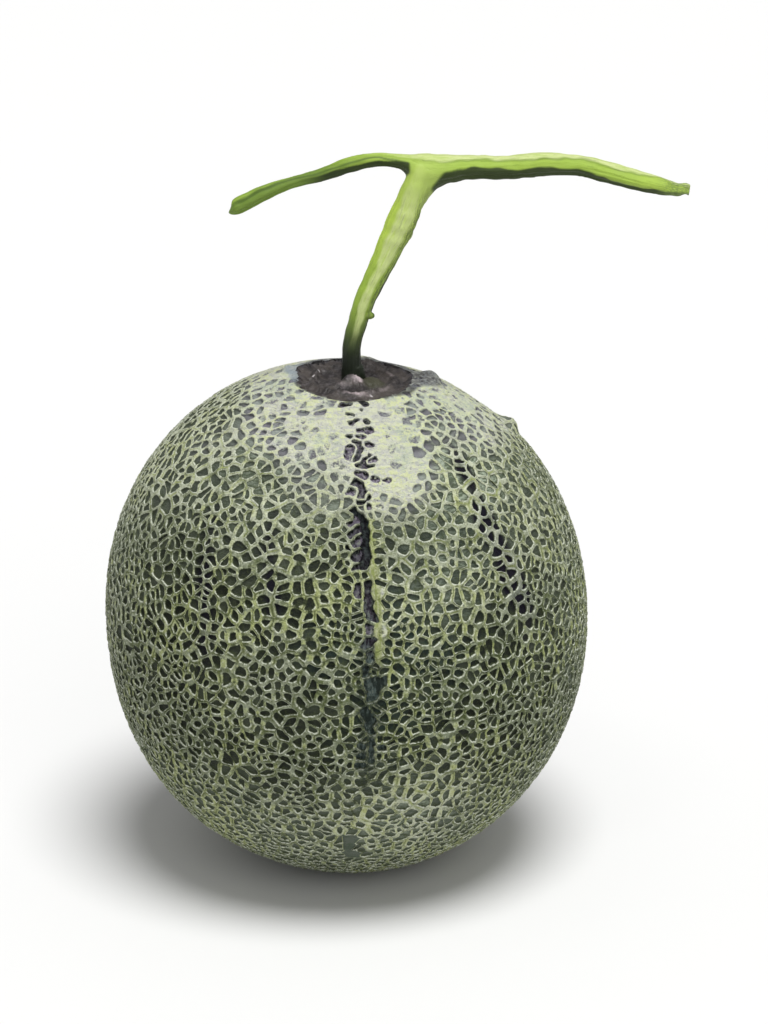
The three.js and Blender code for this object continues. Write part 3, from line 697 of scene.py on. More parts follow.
class Net:
    """Corners round the cells, with the bends of the ridges between them, and what is known of each point."""

    def __init__(self, rng):
        self.at, self.kind, self.share, self.pale = net_cells(rng)
        cell, corner, directions = cell_loops(self.at, self.kind)
        after = corner[following(cell)]
        low, high = np.minimum(corner, after), np.maximum(corner, after)
        keys, edge = np.unique(low * len(directions) + high, return_inverse=True)
        ends = np.stack([keys // len(directions), keys % len(directions)])
        sides = self.edge_sides(edge, cell, len(keys))
        self.draw_edges(rng, directions, ends, sides)
        self.add_bends(rng, directions, ends)
        self.weave(cell, corner, after, edge)

    def edge_sides(self, edge, cell, count):
        one = np.full(count, len(self.at))
        other = np.full(count, -1)
        np.minimum.at(one, edge, cell)
        np.maximum.at(other, edge, cell)
        return one, other

    def draw_edges(self, rng, directions, ends, sides):
        """Each ridge's width, groove and number of bends, and its height at its start, middle and end."""
        count = len(ends[0])
        start, end = directions[ends[0]], directions[ends[1]]
        middle = unit(start + end)
        kinds = [self.kind[side] for side in sides]
        same = self.one_opening(*sides)
        self.length = np.linalg.norm(start - end, axis=1) * MEAN_RADIUS
        self.lying = np.abs(dot(unit(end - start + 1e-12), compass(middle)[0]))
        varied = 1 + WIDTH_VARIES * rng.uniform(-1, 1, count)
        self.width = varied * (1 + WIDTH_DRIFTS * waves(middle, 15, 20, 1.5))
        grooved = rng.random(count) < GROOVED_SHARE
        self.groove = np.where(grooved, rng.uniform(*GROOVES, count), FAINT_GROOVE)
        self.bends = sum(1 * (self.length > length) for length in BEND_LENGTHS)
        self.level = np.ones((count, 3))
        beside = (kinds[0] == FURROW) | (kinds[1] == FURROW)
        self.level[(rng.random(count) < BROKEN_SHARE) & ~beside] = BROKEN_LEVELS
        twin = same & (kinds[0] != FURROW)
        self.level[twin, 1] = rng.uniform(*TWIN_LEVELS, twin.sum())
        self.width[twin] *= TWIN_WIDTH
        self.open = same & (kinds[0] == FURROW)
        self.level[self.open] = 0
        self.groove = np.where(beside | twin, SIDE_GROOVE, self.groove)
        self.bends = np.where(self.open, OPEN_BENDS, self.bends)

    def one_opening(self, one, other):
        """Whether two cells belong to one opening. Bays of a stroke open into it, but not into each other."""
        a, b = self.share[one], self.share[other]
        whole = (a == np.floor(a)) | (b == np.floor(b))
        return (one != other) & (a >= 0) & (b >= 0) & ((a == b) | (whole & (np.floor(a) == np.floor(b))))

    def level_along(self, edge, share):
        """Height of ridges at a share of their length."""
        one, middle, other = self.level[edge].T
        rest = middle + (other - middle) * (2 * share - 1)
        return np.where(share < 0.5, one + (middle - one) * 2 * share, rest)

    def add_bends(self, rng, directions, ends):
        """Points along the ridges, after the corners in the list of directions."""
        corners = len(directions)
        first = np.cumsum(self.bends) - self.bends
        edge = np.repeat(np.arange(len(self.bends)), self.bends)
        share = (np.arange(len(edge)) - first[edge] + 1) / (self.bends[edge] + 1)
        start, end = directions[ends[0][edge]], directions[ends[1][edge]]
        bow = BOW * rng.uniform(-1, 1, len(self.bends))[edge] * np.sin(math.pi * share)
        bow = (bow + BOW_RAGGED * rng.uniform(-1, 1, len(edge))) * self.length[edge] / MEAN_RADIUS
        between = start + (end - start) * share[:, None] + unit(np.cross(start, end) + 1e-12) * bow[:, None]
        self.first_bend = corners + first
        self.directions = np.concatenate([directions, unit(between)])
        level = self.level_along(edge, share)
        self.point_groove = self.at_points(self.groove, ends, edge, corners)
        self.point_lying = self.at_points(self.lying, ends, edge, corners)
        walls = np.bincount(np.concatenate(ends), weights=np.tile(~self.open, 2), minlength=corners) > 0
        self.point_height = np.concatenate([walls * 1.0, level])
        self.point_cut = np.concatenate([1.0 - walls, self.open[edge] * (1 - level)])

    def at_points(self, value, ends, edge, corners):
        """A ridge's value at its bends, and the mean of its ridges' values at a corner."""
        both = np.concatenate(ends)
        found = summed(corners, both, np.concatenate([value, value]))
        found /= np.maximum(np.bincount(both, minlength=corners), 1)
        return np.concatenate([found, value[edge]])

    def weave(self, cell, corner, after, edge):
        """Loops of points, which are corners and the bends between them, and the widths on both sides."""
        steps = 1 + self.bends[edge]
        start = np.cumsum(steps) - steps
        source = np.repeat(np.arange(len(cell)), steps)
        step = np.arange(len(source)) - start[source]
        forward = (corner < after)[source]
        rank = np.where(forward, step, steps[source] - step)
        bend = self.first_bend[edge[source]] + rank - 1
        self.point = np.where(step == 0, corner[source], bend)
        self.cell = cell[source]
        self.after = following(self.cell)
        self.before = np.empty_like(self.after)
        self.before[self.after] = np.arange(len(self.after))
        own = edge[source]
        self.width_ahead = self.width_at(own, self.along(step / steps[source], forward))
        self.width_behind = self.width_at(own, self.along((step + 1) / steps[source], forward))[self.before]

    def along(self, share, forward):
        return np.where(forward, share, 1 - share)

    def width_at(self, edge, share):
        level = self.level_along(edge, share)
        return self.width[edge] * np.where(self.open[edge], level, LOW_WIDTH + (1 - LOW_WIDTH) * level)


def flat_left(v):
    return np.stack([-v[:, 1], v[:, 0]], -1)


def cell_planes(net):
    """Each cell's plane, as its middle, east, north and radius, its points there, and their area's middle."""
    count = len(net.at)
    c, d = net.cell, net.directions[net.point]
    total = summed(count, c, d)
    middle = unit(np.where(np.linalg.norm(total, axis=1, keepdims=True) > 0, total, net.at))
    east, north = compass(middle)
    radius = body_radius(middle)
    flat = np.stack([dot(d, east[c]), dot(d, north[c])], -1) * (radius[c] / dot(d, middle[c]))[:, None]
    ahead = flat[net.after]
    twice = flat[:, 0] * ahead[:, 1] - flat[:, 1] * ahead[:, 0]
    moment = summed(count, c, (flat + ahead) * twice[:, None] / 6)
    centre = moment / np.maximum(summed(count, c, twice / 2), 1e-6)[:, None]
    return (middle, east, north, radius), flat, centre


def foot_loops(net, flat, centre, ahead_width, behind_width):
    """Inner edge of the ridges round each cell, and the inner radius of the hole that they leave."""
    ahead = unit(flat[net.after] - flat + 1e-9)
    behind = ahead[net.before]
    a, b = flat_left(ahead), flat_left(behind)
    apart = dot(a, centre[net.cell] - flat)
    inner = np.full(len(net.at), 9.0)
    walled = ahead_width > 2 * NARROWEST
    np.minimum.at(inner, net.cell[walled], apart[walled])
    inner = np.maximum(inner, 0.05)
    widest = np.full(len(net.at), 1e-6)
    np.maximum.at(widest, net.cell, np.maximum(ahead_width, behind_width))
    share = np.clip((1 - SMALLEST_HOLE) * inner / widest, 0, 1)
    one, other = ahead_width * share[net.cell], behind_width * share[net.cell]
    turned = a[:, 0] * b[:, 1] - a[:, 1] * b[:, 0]
    safe = np.where(np.abs(turned) < 0.2, 1, turned)
    met = np.stack([b[:, 1] * one - a[:, 1] * other, a[:, 0] * other - b[:, 0] * one], -1) / safe[:, None]
    even = (a + b) / np.maximum(1 + dot(a, b), 0.55)[:, None] * (one + other)[:, None] / 2
    sharp = smooth(np.abs(turned), 0.25, 0.5)[:, None]
    step = even + (met - even) * sharp
    reach = LONGEST_MITRE * np.maximum(one, other) / np.maximum(np.linalg.norm(step, axis=1), 1e-9)
    foot = flat + step * np.minimum(reach, 1)[:, None]
    length = np.linalg.norm(flat[net.after] - flat, axis=1)
    for _ in range(6):
        gap = dot(foot[net.after] - foot, ahead)
        push = ahead * (np.maximum(SHORTEST_SIDE * length - gap, 0) / 2)[:, None]
        foot = foot - push
        foot[net.after] += push
    rounded = (np.minimum(ahead_width, behind_width) > 2 * NARROWEST)[:, None]
    for _ in range(2):
        foot = np.where(rounded, 0.5 * foot + 0.25 * (foot[net.after] + foot[net.before]), foot)
    return foot, inner - widest * share


def outward_of(plane, place):
    """Directions of places on the cells' planes."""
    middle, east, north, radius = plane
    return unit(middle * radius[:, None] + east * place[:, :1] + north * place[:, 1:])


class Rind:
    """The net as points, faces and values: ridges' middles, three rings in each cell, and the cells' hubs."""

    def __init__(self, net, rng):
        self.net = net
        self.sizes = (len(net.directions), len(net.point), len(net.at))
        c, k, d = net.cell, net.point, net.directions
        crust = crust_at(d)
        plane, flat, centre = cell_planes(net)
        closed = self.closed_cells(plane[0], rng)
        widened = 1 + CRUST_WIDENS * crust + BELT_WIDENS * belt_at(d) + PALE_WIDENS * pallor_at(d)
        share = np.where(net.kind[c] == FURROW, FURROW_RIDGE_SHARE, widened[k])
        sides = [np.maximum(RIDGE_HALF_WIDTH * share * width, NARROWEST)
                 for width in (net.width_ahead, net.width_behind)]
        foot, hole = foot_loops(net, flat, centre, *sides)
        depth = self.depths(plane[0], closed, hole, rng)
        self.pale = self.most_of_cells(net.pale)
        top = self.tops(crust, rng)
        groove = GROOVE_DEPTH * net.point_groove * np.clip(net.point_height, 0, 1) * (1 - CRUST_FILLS * crust)

        length = np.maximum(np.linalg.norm(foot - flat, axis=1), 1e-6)
        crest = np.clip(1 - CREST_INSET / length, CREST_LEAST, 1)
        shoulder = np.clip(1 - SHOULDER_INSET / length, SHOULDER_LEAST, 1)
        own_plane = [part[c] for part in plane]
        rings, lifts = [d], [top - groove]
        for share, level in ((crest, 1), (shoulder, SHOULDER_LEVEL), (np.ones(len(length)), 0)):
            rings.append(outward_of(own_plane, flat + (foot - flat) * share[:, None]))
            lifts.append(top[k] * level - depth[c] * (1 - level))
        hub = summed(len(net.at), c, foot) / np.maximum(np.bincount(c, minlength=len(net.at)), 1)[:, None]
        rings.append(outward_of(plane, hub))
        lifts.append(-depth + np.where(net.kind == FURROW, 0, FLOOR_DOME * (1 - closed)))
        # How far up each point lies in its hole, from -1 at the lower side to 1 at the upper; the material
        # paints shadow and light by it.
        beside = foot - hub[c]
        upper = beside[:, 1] / np.maximum(np.linalg.norm(beside, axis=1), 1e-6)
        self.upper = upper * (1 - np.clip(net.point_cut[k], 0, 1))
        self.outward = np.concatenate(rings)
        self.points = skin(self.outward, np.concatenate(lifts))
        self.values = self.point_values(crust, closed, rng)

    def most_of_cells(self, value):
        """For each corner and bend, the largest value of the cells round it."""
        found = np.zeros(self.sizes[0])
        np.maximum.at(found, self.net.point, value[self.net.cell])
        return found

    def closed_cells(self, middle, rng):
        """How far each cell is filled, from 0 to 1."""
        kind, crust = self.net.kind, crust_at(middle)
        chance = CRUST_HOLES * (rng.random(len(middle)) - 0.5)
        closed = smooth(crust + chance - spots_at(middle, CRUST_LOOSE), 0.3, 1.05)
        closed = np.where(kind == SIDE, smooth(crust, 0.3, 0.7), closed)
        closed = np.where(kind == FURROW, 0, np.maximum(closed, bank_at(middle)))
        return np.where(np.isin(kind, FLAT_KINDS), 1, closed)

    def depths(self, middle, closed, hole, rng):
        """How far each cell's floor lies below the body's form."""
        at, kind, pale = self.net.at, self.net.kind, self.net.pale
        depth = RIDGE_HEIGHT * (1 - closed) * (NARROW_DEPTH + (1 - NARROW_DEPTH) * smooth(hole, 0.15, 0.8))
        depth = depth + CLOSED_DEPTH * closed + rng.uniform(*FLOOR_VARIES, len(depth)) * (1 - closed)
        depth = depth * (1 - CRUST_SHALLOW * crust_at(middle))
        deep = RIDGE_HEIGHT + furrow_depth(at) * (1 - pale) - SHALLOW * pale
        depth = np.where(kind == FURROW, deep * (1 - SHALLOW_IN_CRUST * pale * crust_at(at)), depth)
        return np.where(np.isin(kind, FLAT_KINDS), 0, depth)

    def tops(self, crust, rng):
        """How far the ridges rise above the body's form at their corners and bends."""
        net = self.net
        even = (net.point_cut > 0) | (self.most_of_cells(np.isin(net.kind, FLAT_KINDS) * 1.0) > 0)
        varied = np.where(even, 0, LEVEL_VARIES * rng.uniform(-1, 1, len(crust)))
        top = CRUST_LIFT * crust + varied * (1 - crust)
        cut = furrow_depth(net.directions) * (1 - self.pale) - SHALLOW * self.pale
        return top - (1 - net.point_height) * RIDGE_HEIGHT - net.point_cut * cut

    def point_values(self, crust, closed, rng):
        """What the material needs to know of each point."""
        net = self.net
        k, c = net.point, net.cell
        height, cut = np.clip(net.point_height, 0, 1), np.clip(net.point_cut, 0, 1)
        loop, hubs = np.zeros(len(k)), np.zeros(len(net.at))
        tone = rng.random(len(net.at))
        furrow = (net.kind == FURROW) * 1.0
        side = 0.5 * height[k] * (1 - closed[c]) + closed[c]
        rows = {
            "net": (height, height[k], side, closed[c], closed),
            "groove": (np.clip(net.point_groove, 0, 1) * height, loop, loop, loop, hubs),
            "middle": (height, loop, loop, loop, hubs),
            "lying": (net.point_lying, *[net.point_lying[k]] * 3, hubs),
            "crust": (crust, *[crust[k]] * 3, crust_at(net.at)),
            "closed": (crust, np.maximum(crust[k], closed[c]), closed[c], closed[c], closed),
            "furrow": (cut, furrow[c] * (1 - height[k]), furrow[c], furrow[c], furrow),
            "tone": (0.5 + 0 * height, 0.5 + loop, tone[c], tone[c], tone),
            "upper": (0 * height, *[self.upper] * 3, hubs)}
        of_cells = {"patch": (net.kind == PATCH) * 1.0, "scar": (net.kind == SCAR) * 1.0, "pale": net.pale}
        for name, value in of_cells.items():
            rows[name] = (self.most_of_cells(value), *[value[c]] * 3, value)
        values = {name: np.concatenate(row) for name, row in rows.items()}
        fields = {"track": track_at, "bruise": bruise_at, "pallor": pallor_at, "bank": bank_at,
                  "dusk": dusk_at}
        for name, field in fields.items():
            values[name] = field(self.outward)
        values["haze"] = spots_at(self.outward, HAZE_SPOTS)
        values["teal"] = spots_at(self.outward, TEAL_SPOTS)
        return values

    def ring(self, number):
        corners, loops, _ = self.sizes
        if number == 0:
            return self.net.point
        return corners + (number - 1) * loops + np.arange(loops)

    def faces(self, chosen):
        """Quads and triangles of the chosen corners."""
        net = self.net
        own = np.flatnonzero(chosen)
        quads = []
        for number in range(3):
            outer, inner = self.ring(number), self.ring(number + 1)
            quads.append(np.stack([outer[own], outer[net.after[own]], inner[net.after[own]], inner[own]], -1))
        foot = self.ring(3)
        hub = self.sizes[0] + 3 * self.sizes[1] + net.cell
        return np.concatenate(quads), np.stack([foot[own], foot[net.after[own]], hub[own]], -1)

    def normals(self):
        quads, tris = self.faces(np.ones(len(self.net.point), bool))
        tris = np.concatenate([quads[:, [0, 1, 2]], quads[:, [0, 2, 3]], tris])
        a, b, c = (self.points[tris[:, i]] for i in range(3))
        face = np.cross(b - a, c - a)
        return unit(summed(len(self.points), tris.T.ravel(), np.tile(face, (3, 1))) + 1e-12)

    def open_edges(self, chosen):
        """Edges that only one of the chosen faces has, each from start to end round its own face."""
        start = self.net.point[chosen]
        end = self.net.point[self.net.after[chosen]]
        key = np.minimum(start, end) * len(self.points) + np.maximum(start, end)
        _, place, times = np.unique(key, return_inverse=True, return_counts=True)
        alone = times[place] == 1
        return start[alone], end[alone]


def add_values(mesh, values):
    for name, value in values.items():
        attribute = mesh.attributes.new(name, "FLOAT", "POINT")
        attribute.data.foreach_set("value", np.asarray(value, np.float32))


def new_object(name, points, faces, material):
    mesh = bpy.data.meshes.new(name)
    mesh.from_pydata((points * METRES).tolist(), [], faces)
    mesh.polygons.foreach_set("use_smooth", np.ones(len(mesh.polygons), bool))
    mesh.materials.append(material)
    made = bpy.data.objects.new(name, mesh)
    bpy.context.scene.collection.objects.link(made)
    return made


def add_bake_map(mesh, corner_uv):
    layer = mesh.uv_layers.new(name="OFBake")
    layer.data.foreach_set("uv", corner_uv.astype(np.float32).ravel())


def equal_area(d, azimuth):
    """Directions of a quarter of the melon laid flat about its middle, so that equal areas stay equal."""
    middle, up = heading(azimuth, 0), np.array([0, 0, 1.0])
    sideways = np.cross(middle, up) * -1
    angle = np.arccos(np.clip(d @ middle, -1, 1))
    x, y = d @ sideways, d @ up
    level = np.maximum(np.hypot(x, y), 1e-9)
    radius = UV_REACH * math.sqrt(2) * np.sin(angle / 2)
    return 0.5 + np.stack([x / level * radius * UV_WIDENS, y / level * radius], -1)


def rind_piece(name, azimuth, rind, normals, material):
    """Quarter of the rind, closed inside towards the melon's centre."""
    net = rind.net
    sector = np.abs(turned_from(azimuth_of(net.at), azimuth)) < SECTOR_HALF
    chosen = sector[net.cell]
    quads, tris = rind.faces(chosen)
    start, end = rind.open_edges(chosen)
    used = np.unique(np.concatenate([quads.ravel(), tris.ravel()]))
    local = np.full(len(rind.points), -1)
    local[used] = np.arange(len(used))
    hub = len(used)
    walls = np.stack([local[end], local[start], np.full(len(start), hub)], -1)
    points = np.concatenate([rind.points[used], [[0, 0, CENTRE_HEIGHT]]])
    faces = local[quads].tolist() + local[tris].tolist() + walls.tolist()
    made = new_object(name, points, faces, material)
    mesh = made.data
    add_values(mesh, {key: np.append(value[used], 0) for key, value in rind.values.items()})
    mesh.normals_split_custom_set_from_vertices(np.concatenate([normals[used], [[0, 0, 1.0]]]).tolist())
    shown = equal_area(rind.outward[used], azimuth)
    outer = np.concatenate([local[quads].ravel(), local[tris].ravel()])
    turn = np.arctan2(rind.outward[used][:, 2], rind.outward[used] @ heading(azimuth + 90, 0))
    at, size = WALL_UV
    inner = np.append(at + size * np.stack([np.cos(turn), np.sin(turn)], -1), [[at, at]], axis=0)
    add_bake_map(mesh, np.concatenate([shown[outer], inner[walls.ravel()]]))
    return made


def disc_frame():
    side = unit(np.cross([0, 1.0, 0], disc_normal))
    centre = skin(disc_axis[None], np.zeros(1))[0]
    rim = disc_axis * math.cos(disc_angle) + np.array([0, math.sin(disc_angle), 0])
    centre[2] = skin(rim[None], np.zeros(1))[0][2]
    return centre, side, np.cross(disc_normal, side)


def spots(place, rows):
    """Sum of soft round spots, each with its middle, half width both ways and strength."""
    total = np.zeros(len(place))
    for (x, y), (wide, deep), strength in rows:
        total += strength * np.exp(-((place[:, 0] - x) / wide) ** 2 - ((place[:, 1] - y) / deep) ** 2)
    return total


def disc_height(radius, turn, place):
    """Height of the disc above its rim's plane, with an uneven ring ridge and lumps."""
    knots, heights = zip(*DISC_PROFILE)
    wander = 0.5 * np.sin(2 * turn + 0.6) + 0.3 * np.sin(5 * turn + 2)
    base = np.interp(radius - wander * smooth(radius, 8, 11) * smooth(radius, 17, 14), knots, heights)
    flat = np.concatenate([place, np.zeros((len(place), 1))], axis=1)
    lumps = 0.2 * waves(flat, 21, 24, 0.16) + 0.11 * waves(flat, 22, 30, 0.42)
    lumps = lumps + 0.05 * waves(flat, 23, 30, 1.1)
    return base + lumps * smooth(radius, 17.6, 16) + spots(place, DISC_LUMPS) * smooth(radius, 17, 14)


def stalk_disc(rind, material):
    """Sunken disc that the stalk stands in, from the net's rim inwards."""
    start, _ = rind.open_edges(np.ones(len(rind.net.point), bool))
    centre, side, back = disc_frame()
    rim = rind.points[start] - centre
    turn = np.arctan2(rim @ back, rim @ side)
    order = np.argsort(turn)
    rim, turn = rim[order], turn[order]
    count = len(rim)
    fine = count * DISC_FINENESS
    rim_place = np.stack([rim @ side, rim @ back], -1)
    rim_radius = np.hypot(*rim_place.T)

    def between(values, last):
        return np.interp(np.arange(fine) / DISC_FINENESS, np.arange(count + 1), np.append(values, last))

    turns = between(turn, turn[0] + 2 * math.pi)
    reach = between(rim_radius, rim_radius[0]) / DISC_RADIUS
    rim_height = between(rim @ disc_normal, rim[0] @ disc_normal)
    stretch = rim_stretch(turns)
    points, radii, places = [rim + centre], [rim_radius], [rim_place]
    for radius in DISC_RINGS:
        outer = smooth(radius, 13.5, 17.6)
        spread = radius * (1 + (stretch - 1) * smooth(radius, 5, 12) * (1 - outer) + (reach - 1) * outer)
        place = np.stack([spread * np.cos(turns), spread * np.sin(turns)], -1)
        height = disc_height(np.full(fine, radius), turns, place) + rim_height * smooth(radius, 8, 17.6)
        points.append(centre + side * place[:, :1] + back * place[:, 1:] + disc_normal * height[:, None])
        radii.append(np.full(fine, radius))
        places.append(place)
    points += [(centre + disc_normal * depth)[None] for depth in (DISC_FLOOR, DISC_UNDERSIDE)]
    place = np.concatenate(places + [np.zeros((2, 2))])
    made = new_object("stalk_disc", np.concatenate(points), disc_faces(count, fine), material)
    add_values(made.data, {"radius": np.concatenate(radii + [np.zeros(2)]), "rosy": spots(place, DISC_ROSY),
                           "olive": spots(place, DISC_OLIVE), "glint": spots(place, DISC_GLINTS)})
    return made


def ring_quads(rings, sides):
    """Faces between neighbouring rings of points."""
    here = np.arange(rings * sides).reshape(rings, sides)
    there = np.roll(here, -1, axis=1)
    return np.stack([here[:-1], there[:-1], there[1:], here[1:]], -1).reshape(-1, 4)


def disc_faces(count, fine):
    """Faces from the rim to the first ring, between the rings, and to the middle of both sides."""
    faces = []
    half = DISC_FINENESS // 2
    for here in range(count):
        there = (here + 1) % count
        inner = [count + (here * DISC_FINENESS + j) % fine for j in range(DISC_FINENESS + 1)]
        faces += [(here, inner[j + 1], inner[j]) for j in range(half)]
        faces.append((here, there, inner[half]))
        faces += [(there, inner[j + 1], inner[j]) for j in range(half, DISC_FINENESS)]
    faces += (count + ring_quads(len(DISC_RINGS), fine)).tolist()
    last = count + (len(DISC_RINGS) - 1) * fine
    middle = last + fine
    faces += [(last + i, last + (i + 1) % fine, middle) for i in range(fine)]
    faces += [((i + 1) % count, i, middle + 1) for i in range(count)]
    return faces


def curve_points(rows, step):
    """Evenly spaced points on a smooth curve through the rows, with the thickness at each."""
    knots = np.array(rows)
    ends = np.concatenate([[2 * knots[0] - knots[1]], knots, [2 * knots[-1] - knots[-2]]])
    fine = []
    for i in range(len(knots) - 1):
        a, b, c, d = ends[i:i + 4]
        t = np.linspace(0, 1, CURVE_FINENESS, endpoint=i == len(knots) - 2)[:, None]
        cubic = 2 * b + (c - a) * t + (2 * a - 5 * b + 4 * c - d) * t ** 2 + (3 * b - a - 3 * c + d) * t ** 3
        fine.append(0.5 * cubic)
    fine = np.concatenate(fine)
    along = np.append(0, np.cumsum(np.linalg.norm(np.diff(fine[:, :3], axis=0), axis=1)))
    stops = np.linspace(0, along[-1], int(along[-1] / step) + 1)
    return np.stack([np.interp(stops, along, fine[:, i]) for i in range(4)], -1), stops


def curve_frames(centre, up):
    """Tangent, front and top at each point. The top is the side that looks along the given direction."""
    tangent = unit(np.gradient(centre, axis=0))
    top = unit(up - tangent * (tangent @ up)[:, None])
    front = np.cross(top, tangent)
    return tangent, front * np.where(front[:, 1] < 0, 1, -1)[:, None], top


def section_at(angle, rows):
    knots, values = (np.array(part, float) for part in zip(*rows))
    return np.interp(np.mod(angle + 90, 360), np.append(knots + 90, 360), np.append(values, values[0]))


def section_turn(along, seed):
    """Degrees that a section is turned by on its way. The vine's left arm shows more of its underside."""
    drift = 4 * np.sin(along / 9 + seed) + 2.5 * np.sin(along / 4.1 + 2 * seed)
    if seed == VINE_SEED:
        drift = drift - LEFT_ARM_TURN * band(along, 12, 24, LEFT_ARM_LENGTH - 8, LEFT_ARM_LENGTH)
    return drift


def left_groove(angle, along):
    """The groove in the middle of the vine's left arm, from 0 to 1, by the section's angle in degrees."""
    middle = 34 - 34 * smooth(along, 12, 24) + 16 * smooth(along, 30, 44)
    return bell(angle - middle, 12) * band(along, 0, 4, 50, 54)


def stem_relief(angle, along, rows, seed):
    """Radius of the stem against its mean: the section, turning a little on its way, with fibres on it."""
    rng = np.random.default_rng(seed)
    turned = np.degrees(angle) + section_turn(along, seed)
    relief = section_at(turned, rows)
    if seed == VINE_SEED:
        relief = relief - LEFT_GROOVE_DEPTH * left_groove(np.mod(turned + 180, 360) - 180, along)
    for _ in range(16):
        ribs = rng.integers(9, 26)
        pace = rng.normal(0, 0.14)
        relief = relief + FIBRE_DEPTH * np.cos(ribs * angle + pace * along + rng.uniform(0, 6.3))
    for _ in range(6):
        ribs, pace = rng.integers(0, 3), rng.uniform(0.5, 1.6)
        relief = relief + KNOB_DEPTH * np.cos(ribs * angle + pace * along + rng.uniform(0, 6.3))
    return relief


def torn(angle, along):
    """Rags of the vine's right end, from 0 at their start."""
    from_end = along[-1] - along
    share = smooth(from_end, TORN_LENGTH, 1.0)
    flat = np.stack([np.cos(angle) * 2 + 0 * along, np.sin(angle) * 2 + 0 * along, along + 0 * angle], -1)
    rags = waves(flat.reshape(-1, 3), 31, 24, 0.22).reshape(flat.shape[:2])
    return share * (TORN_DEPTH * rags - TORN_NARROWS)


def closed_body(rings):
    """Points and faces of a body, from rings of points, with a flat face at both ends."""
    rows, sides, _ = rings.shape
    last = (rows - 1) * sides
    ends = [list(range(sides))[::-1], list(range(last, last + sides))]
    return rings.reshape(-1, 3), ring_quads(rows, sides).tolist() + ends


def turns_of(sides):
    return np.arange(sides) * 2 * math.pi / sides


def tube(rows, section, up, seed, cut_start=0.0, rags=False):
    """Closed tube of a section. A cut makes the start round and oblique, by a slope in millimetres."""
    line, along = curve_points(rows, STEM_STEP)
    centre, radius = line[:, :3], line[:, 3] / 2
    tangent, front, top = curve_frames(centre, np.array(up, float))
    angle = turns_of(STEM_SIDES)[None]
    along = along[:, None]
    relief = stem_relief(angle, along, section, seed)
    if rags:
        relief = relief + torn(angle, along)
    narrowed = np.clip(1 - along / ROUND_END, 0, 1) ** 2 * (cut_start != 0)
    out = radius[:, None] * relief * np.sqrt(1 - (1 - END_SHARE ** 2) * narrowed)
    ring = front[:, None] * (out * np.cos(angle))[..., None] + top[:, None] * (out * np.sin(angle))[..., None]
    slope = cut_start * smooth(along, 3, 0) * (np.sin(angle) + 0.5)
    points, faces = closed_body(centre[:, None] + ring + tangent[:, None] * slope[..., None])
    if np.dot(np.cross(front[0], top[0]), tangent[0]) < 0:
        faces = [face[::-1] for face in faces]
    return points, faces


def stalk_foot(origin, axis, sides=64):
    """The stalk's wide foot, uneven round its axis."""
    side = unit(np.cross([0, 1.0, 0], axis))
    other = np.cross(axis, side)
    turn = turns_of(sides)
    rings = []
    for radius, height in FOOT_PROFILE:
        uneven = radius * (1 + 0.04 * np.sin(3 * turn + height) + 0.03 * np.sin(7 * turn + 2 * height))
        around = side * (uneven * np.cos(turn))[:, None] + other * (uneven * np.sin(turn))[:, None]
        rings.append(origin + axis * height + around)
    return closed_body(np.array(rings))


def lump(centre, radii, sides=24, rows=14):
    turn = turns_of(sides)
    rise = (np.arange(1, rows) * math.pi / rows)[:, None]
    rings = np.stack([np.sin(rise) * np.cos(turn), np.sin(rise) * np.sin(turn), -np.cos(rise) + 0 * turn], -1)
    return closed_body(rings * np.array(radii) + np.array(centre))


def apply_modifiers(made):
    evaluated = made.evaluated_get(bpy.context.evaluated_depsgraph_get())
    mesh = bpy.data.meshes.new_from_object(evaluated)
    mesh.name = made.name
    made.modifiers.clear()
    made.data = mesh


def add_softening(made, times, group=""):
    modifier = made.modifiers.new("soften", "SMOOTH")
    modifier.factor = 0.5
    modifier.iterations = times
    modifier.vertex_group = group


def join_bodies(made, voxel):
    """Makes one skin of the object's closed bodies."""
    modifier = made.modifiers.new("skin", "REMESH")
    modifier.mode = "VOXEL"
    modifier.voxel_size = voxel * METRES
    modifier.use_smooth_shade = True
    add_softening(made, STEM_SOFTENING)
    apply_modifiers(made)


UP, LEFT = (0.0, 0.0, 1.0), (-1.0, 0.0, 0.0)


def stem_piece(material):
    centre, _, _ = disc_frame()
    bodies = [tube(STALK, STALK_SECTION, LEFT, 1),
              tube(VINE, VINE_SECTION, UP, VINE_SEED, cut_start=VINE_CUT, rags=True),
              tube(FORK, STALK_SECTION, LEFT, 3), stalk_foot(centre + disc_normal * DISC_FLOOR, disc_normal)]
    bodies += [lump(at, radii) for at, radii in STEM_LUMPS]
    points, faces, first = [], [], 0
    for body_points, body_faces in bodies:
        points.append(body_points)
        faces += [[first + i for i in face] for face in body_faces]
        first += len(body_points)
    made = new_object("vine_stem", np.concatenate(points), faces, material)
    bpy.context.view_layer.update()
    join_bodies(made, STEM_VOXEL)
    soften_meeting(made)
    add_stem_values(made.data)
    if not made.data.materials:
        made.data.materials.append(material)
    return made


def points_of(mesh):
    flat = np.empty(len(mesh.vertices) * 3, np.float32)
    mesh.vertices.foreach_get("co", flat)
    return flat.reshape(-1, 3).astype(float) / METRES


def near_meeting(points):
    """Nearness to the place where the stalk meets the vine, from 0 to 1."""
    away = points - np.array(MEETING)
    return np.exp(-dot(away, away) / MEETING_REACH ** 2)


def soften_meeting(made):
    """Smooths the skin where the stalk meets the vine."""
    share = near_meeting(points_of(made.data))
    group = made.vertex_groups.new(name="meeting")
    for level in range(1, MEETING_LEVELS + 1):
        chosen = np.flatnonzero(np.round(share * MEETING_LEVELS) == level)
        group.add(chosen.tolist(), level / MEETING_LEVELS, "REPLACE")
    add_softening(made, MEETING_SOFTENING, "meeting")
    apply_modifiers(made)
    made.vertex_groups.clear()


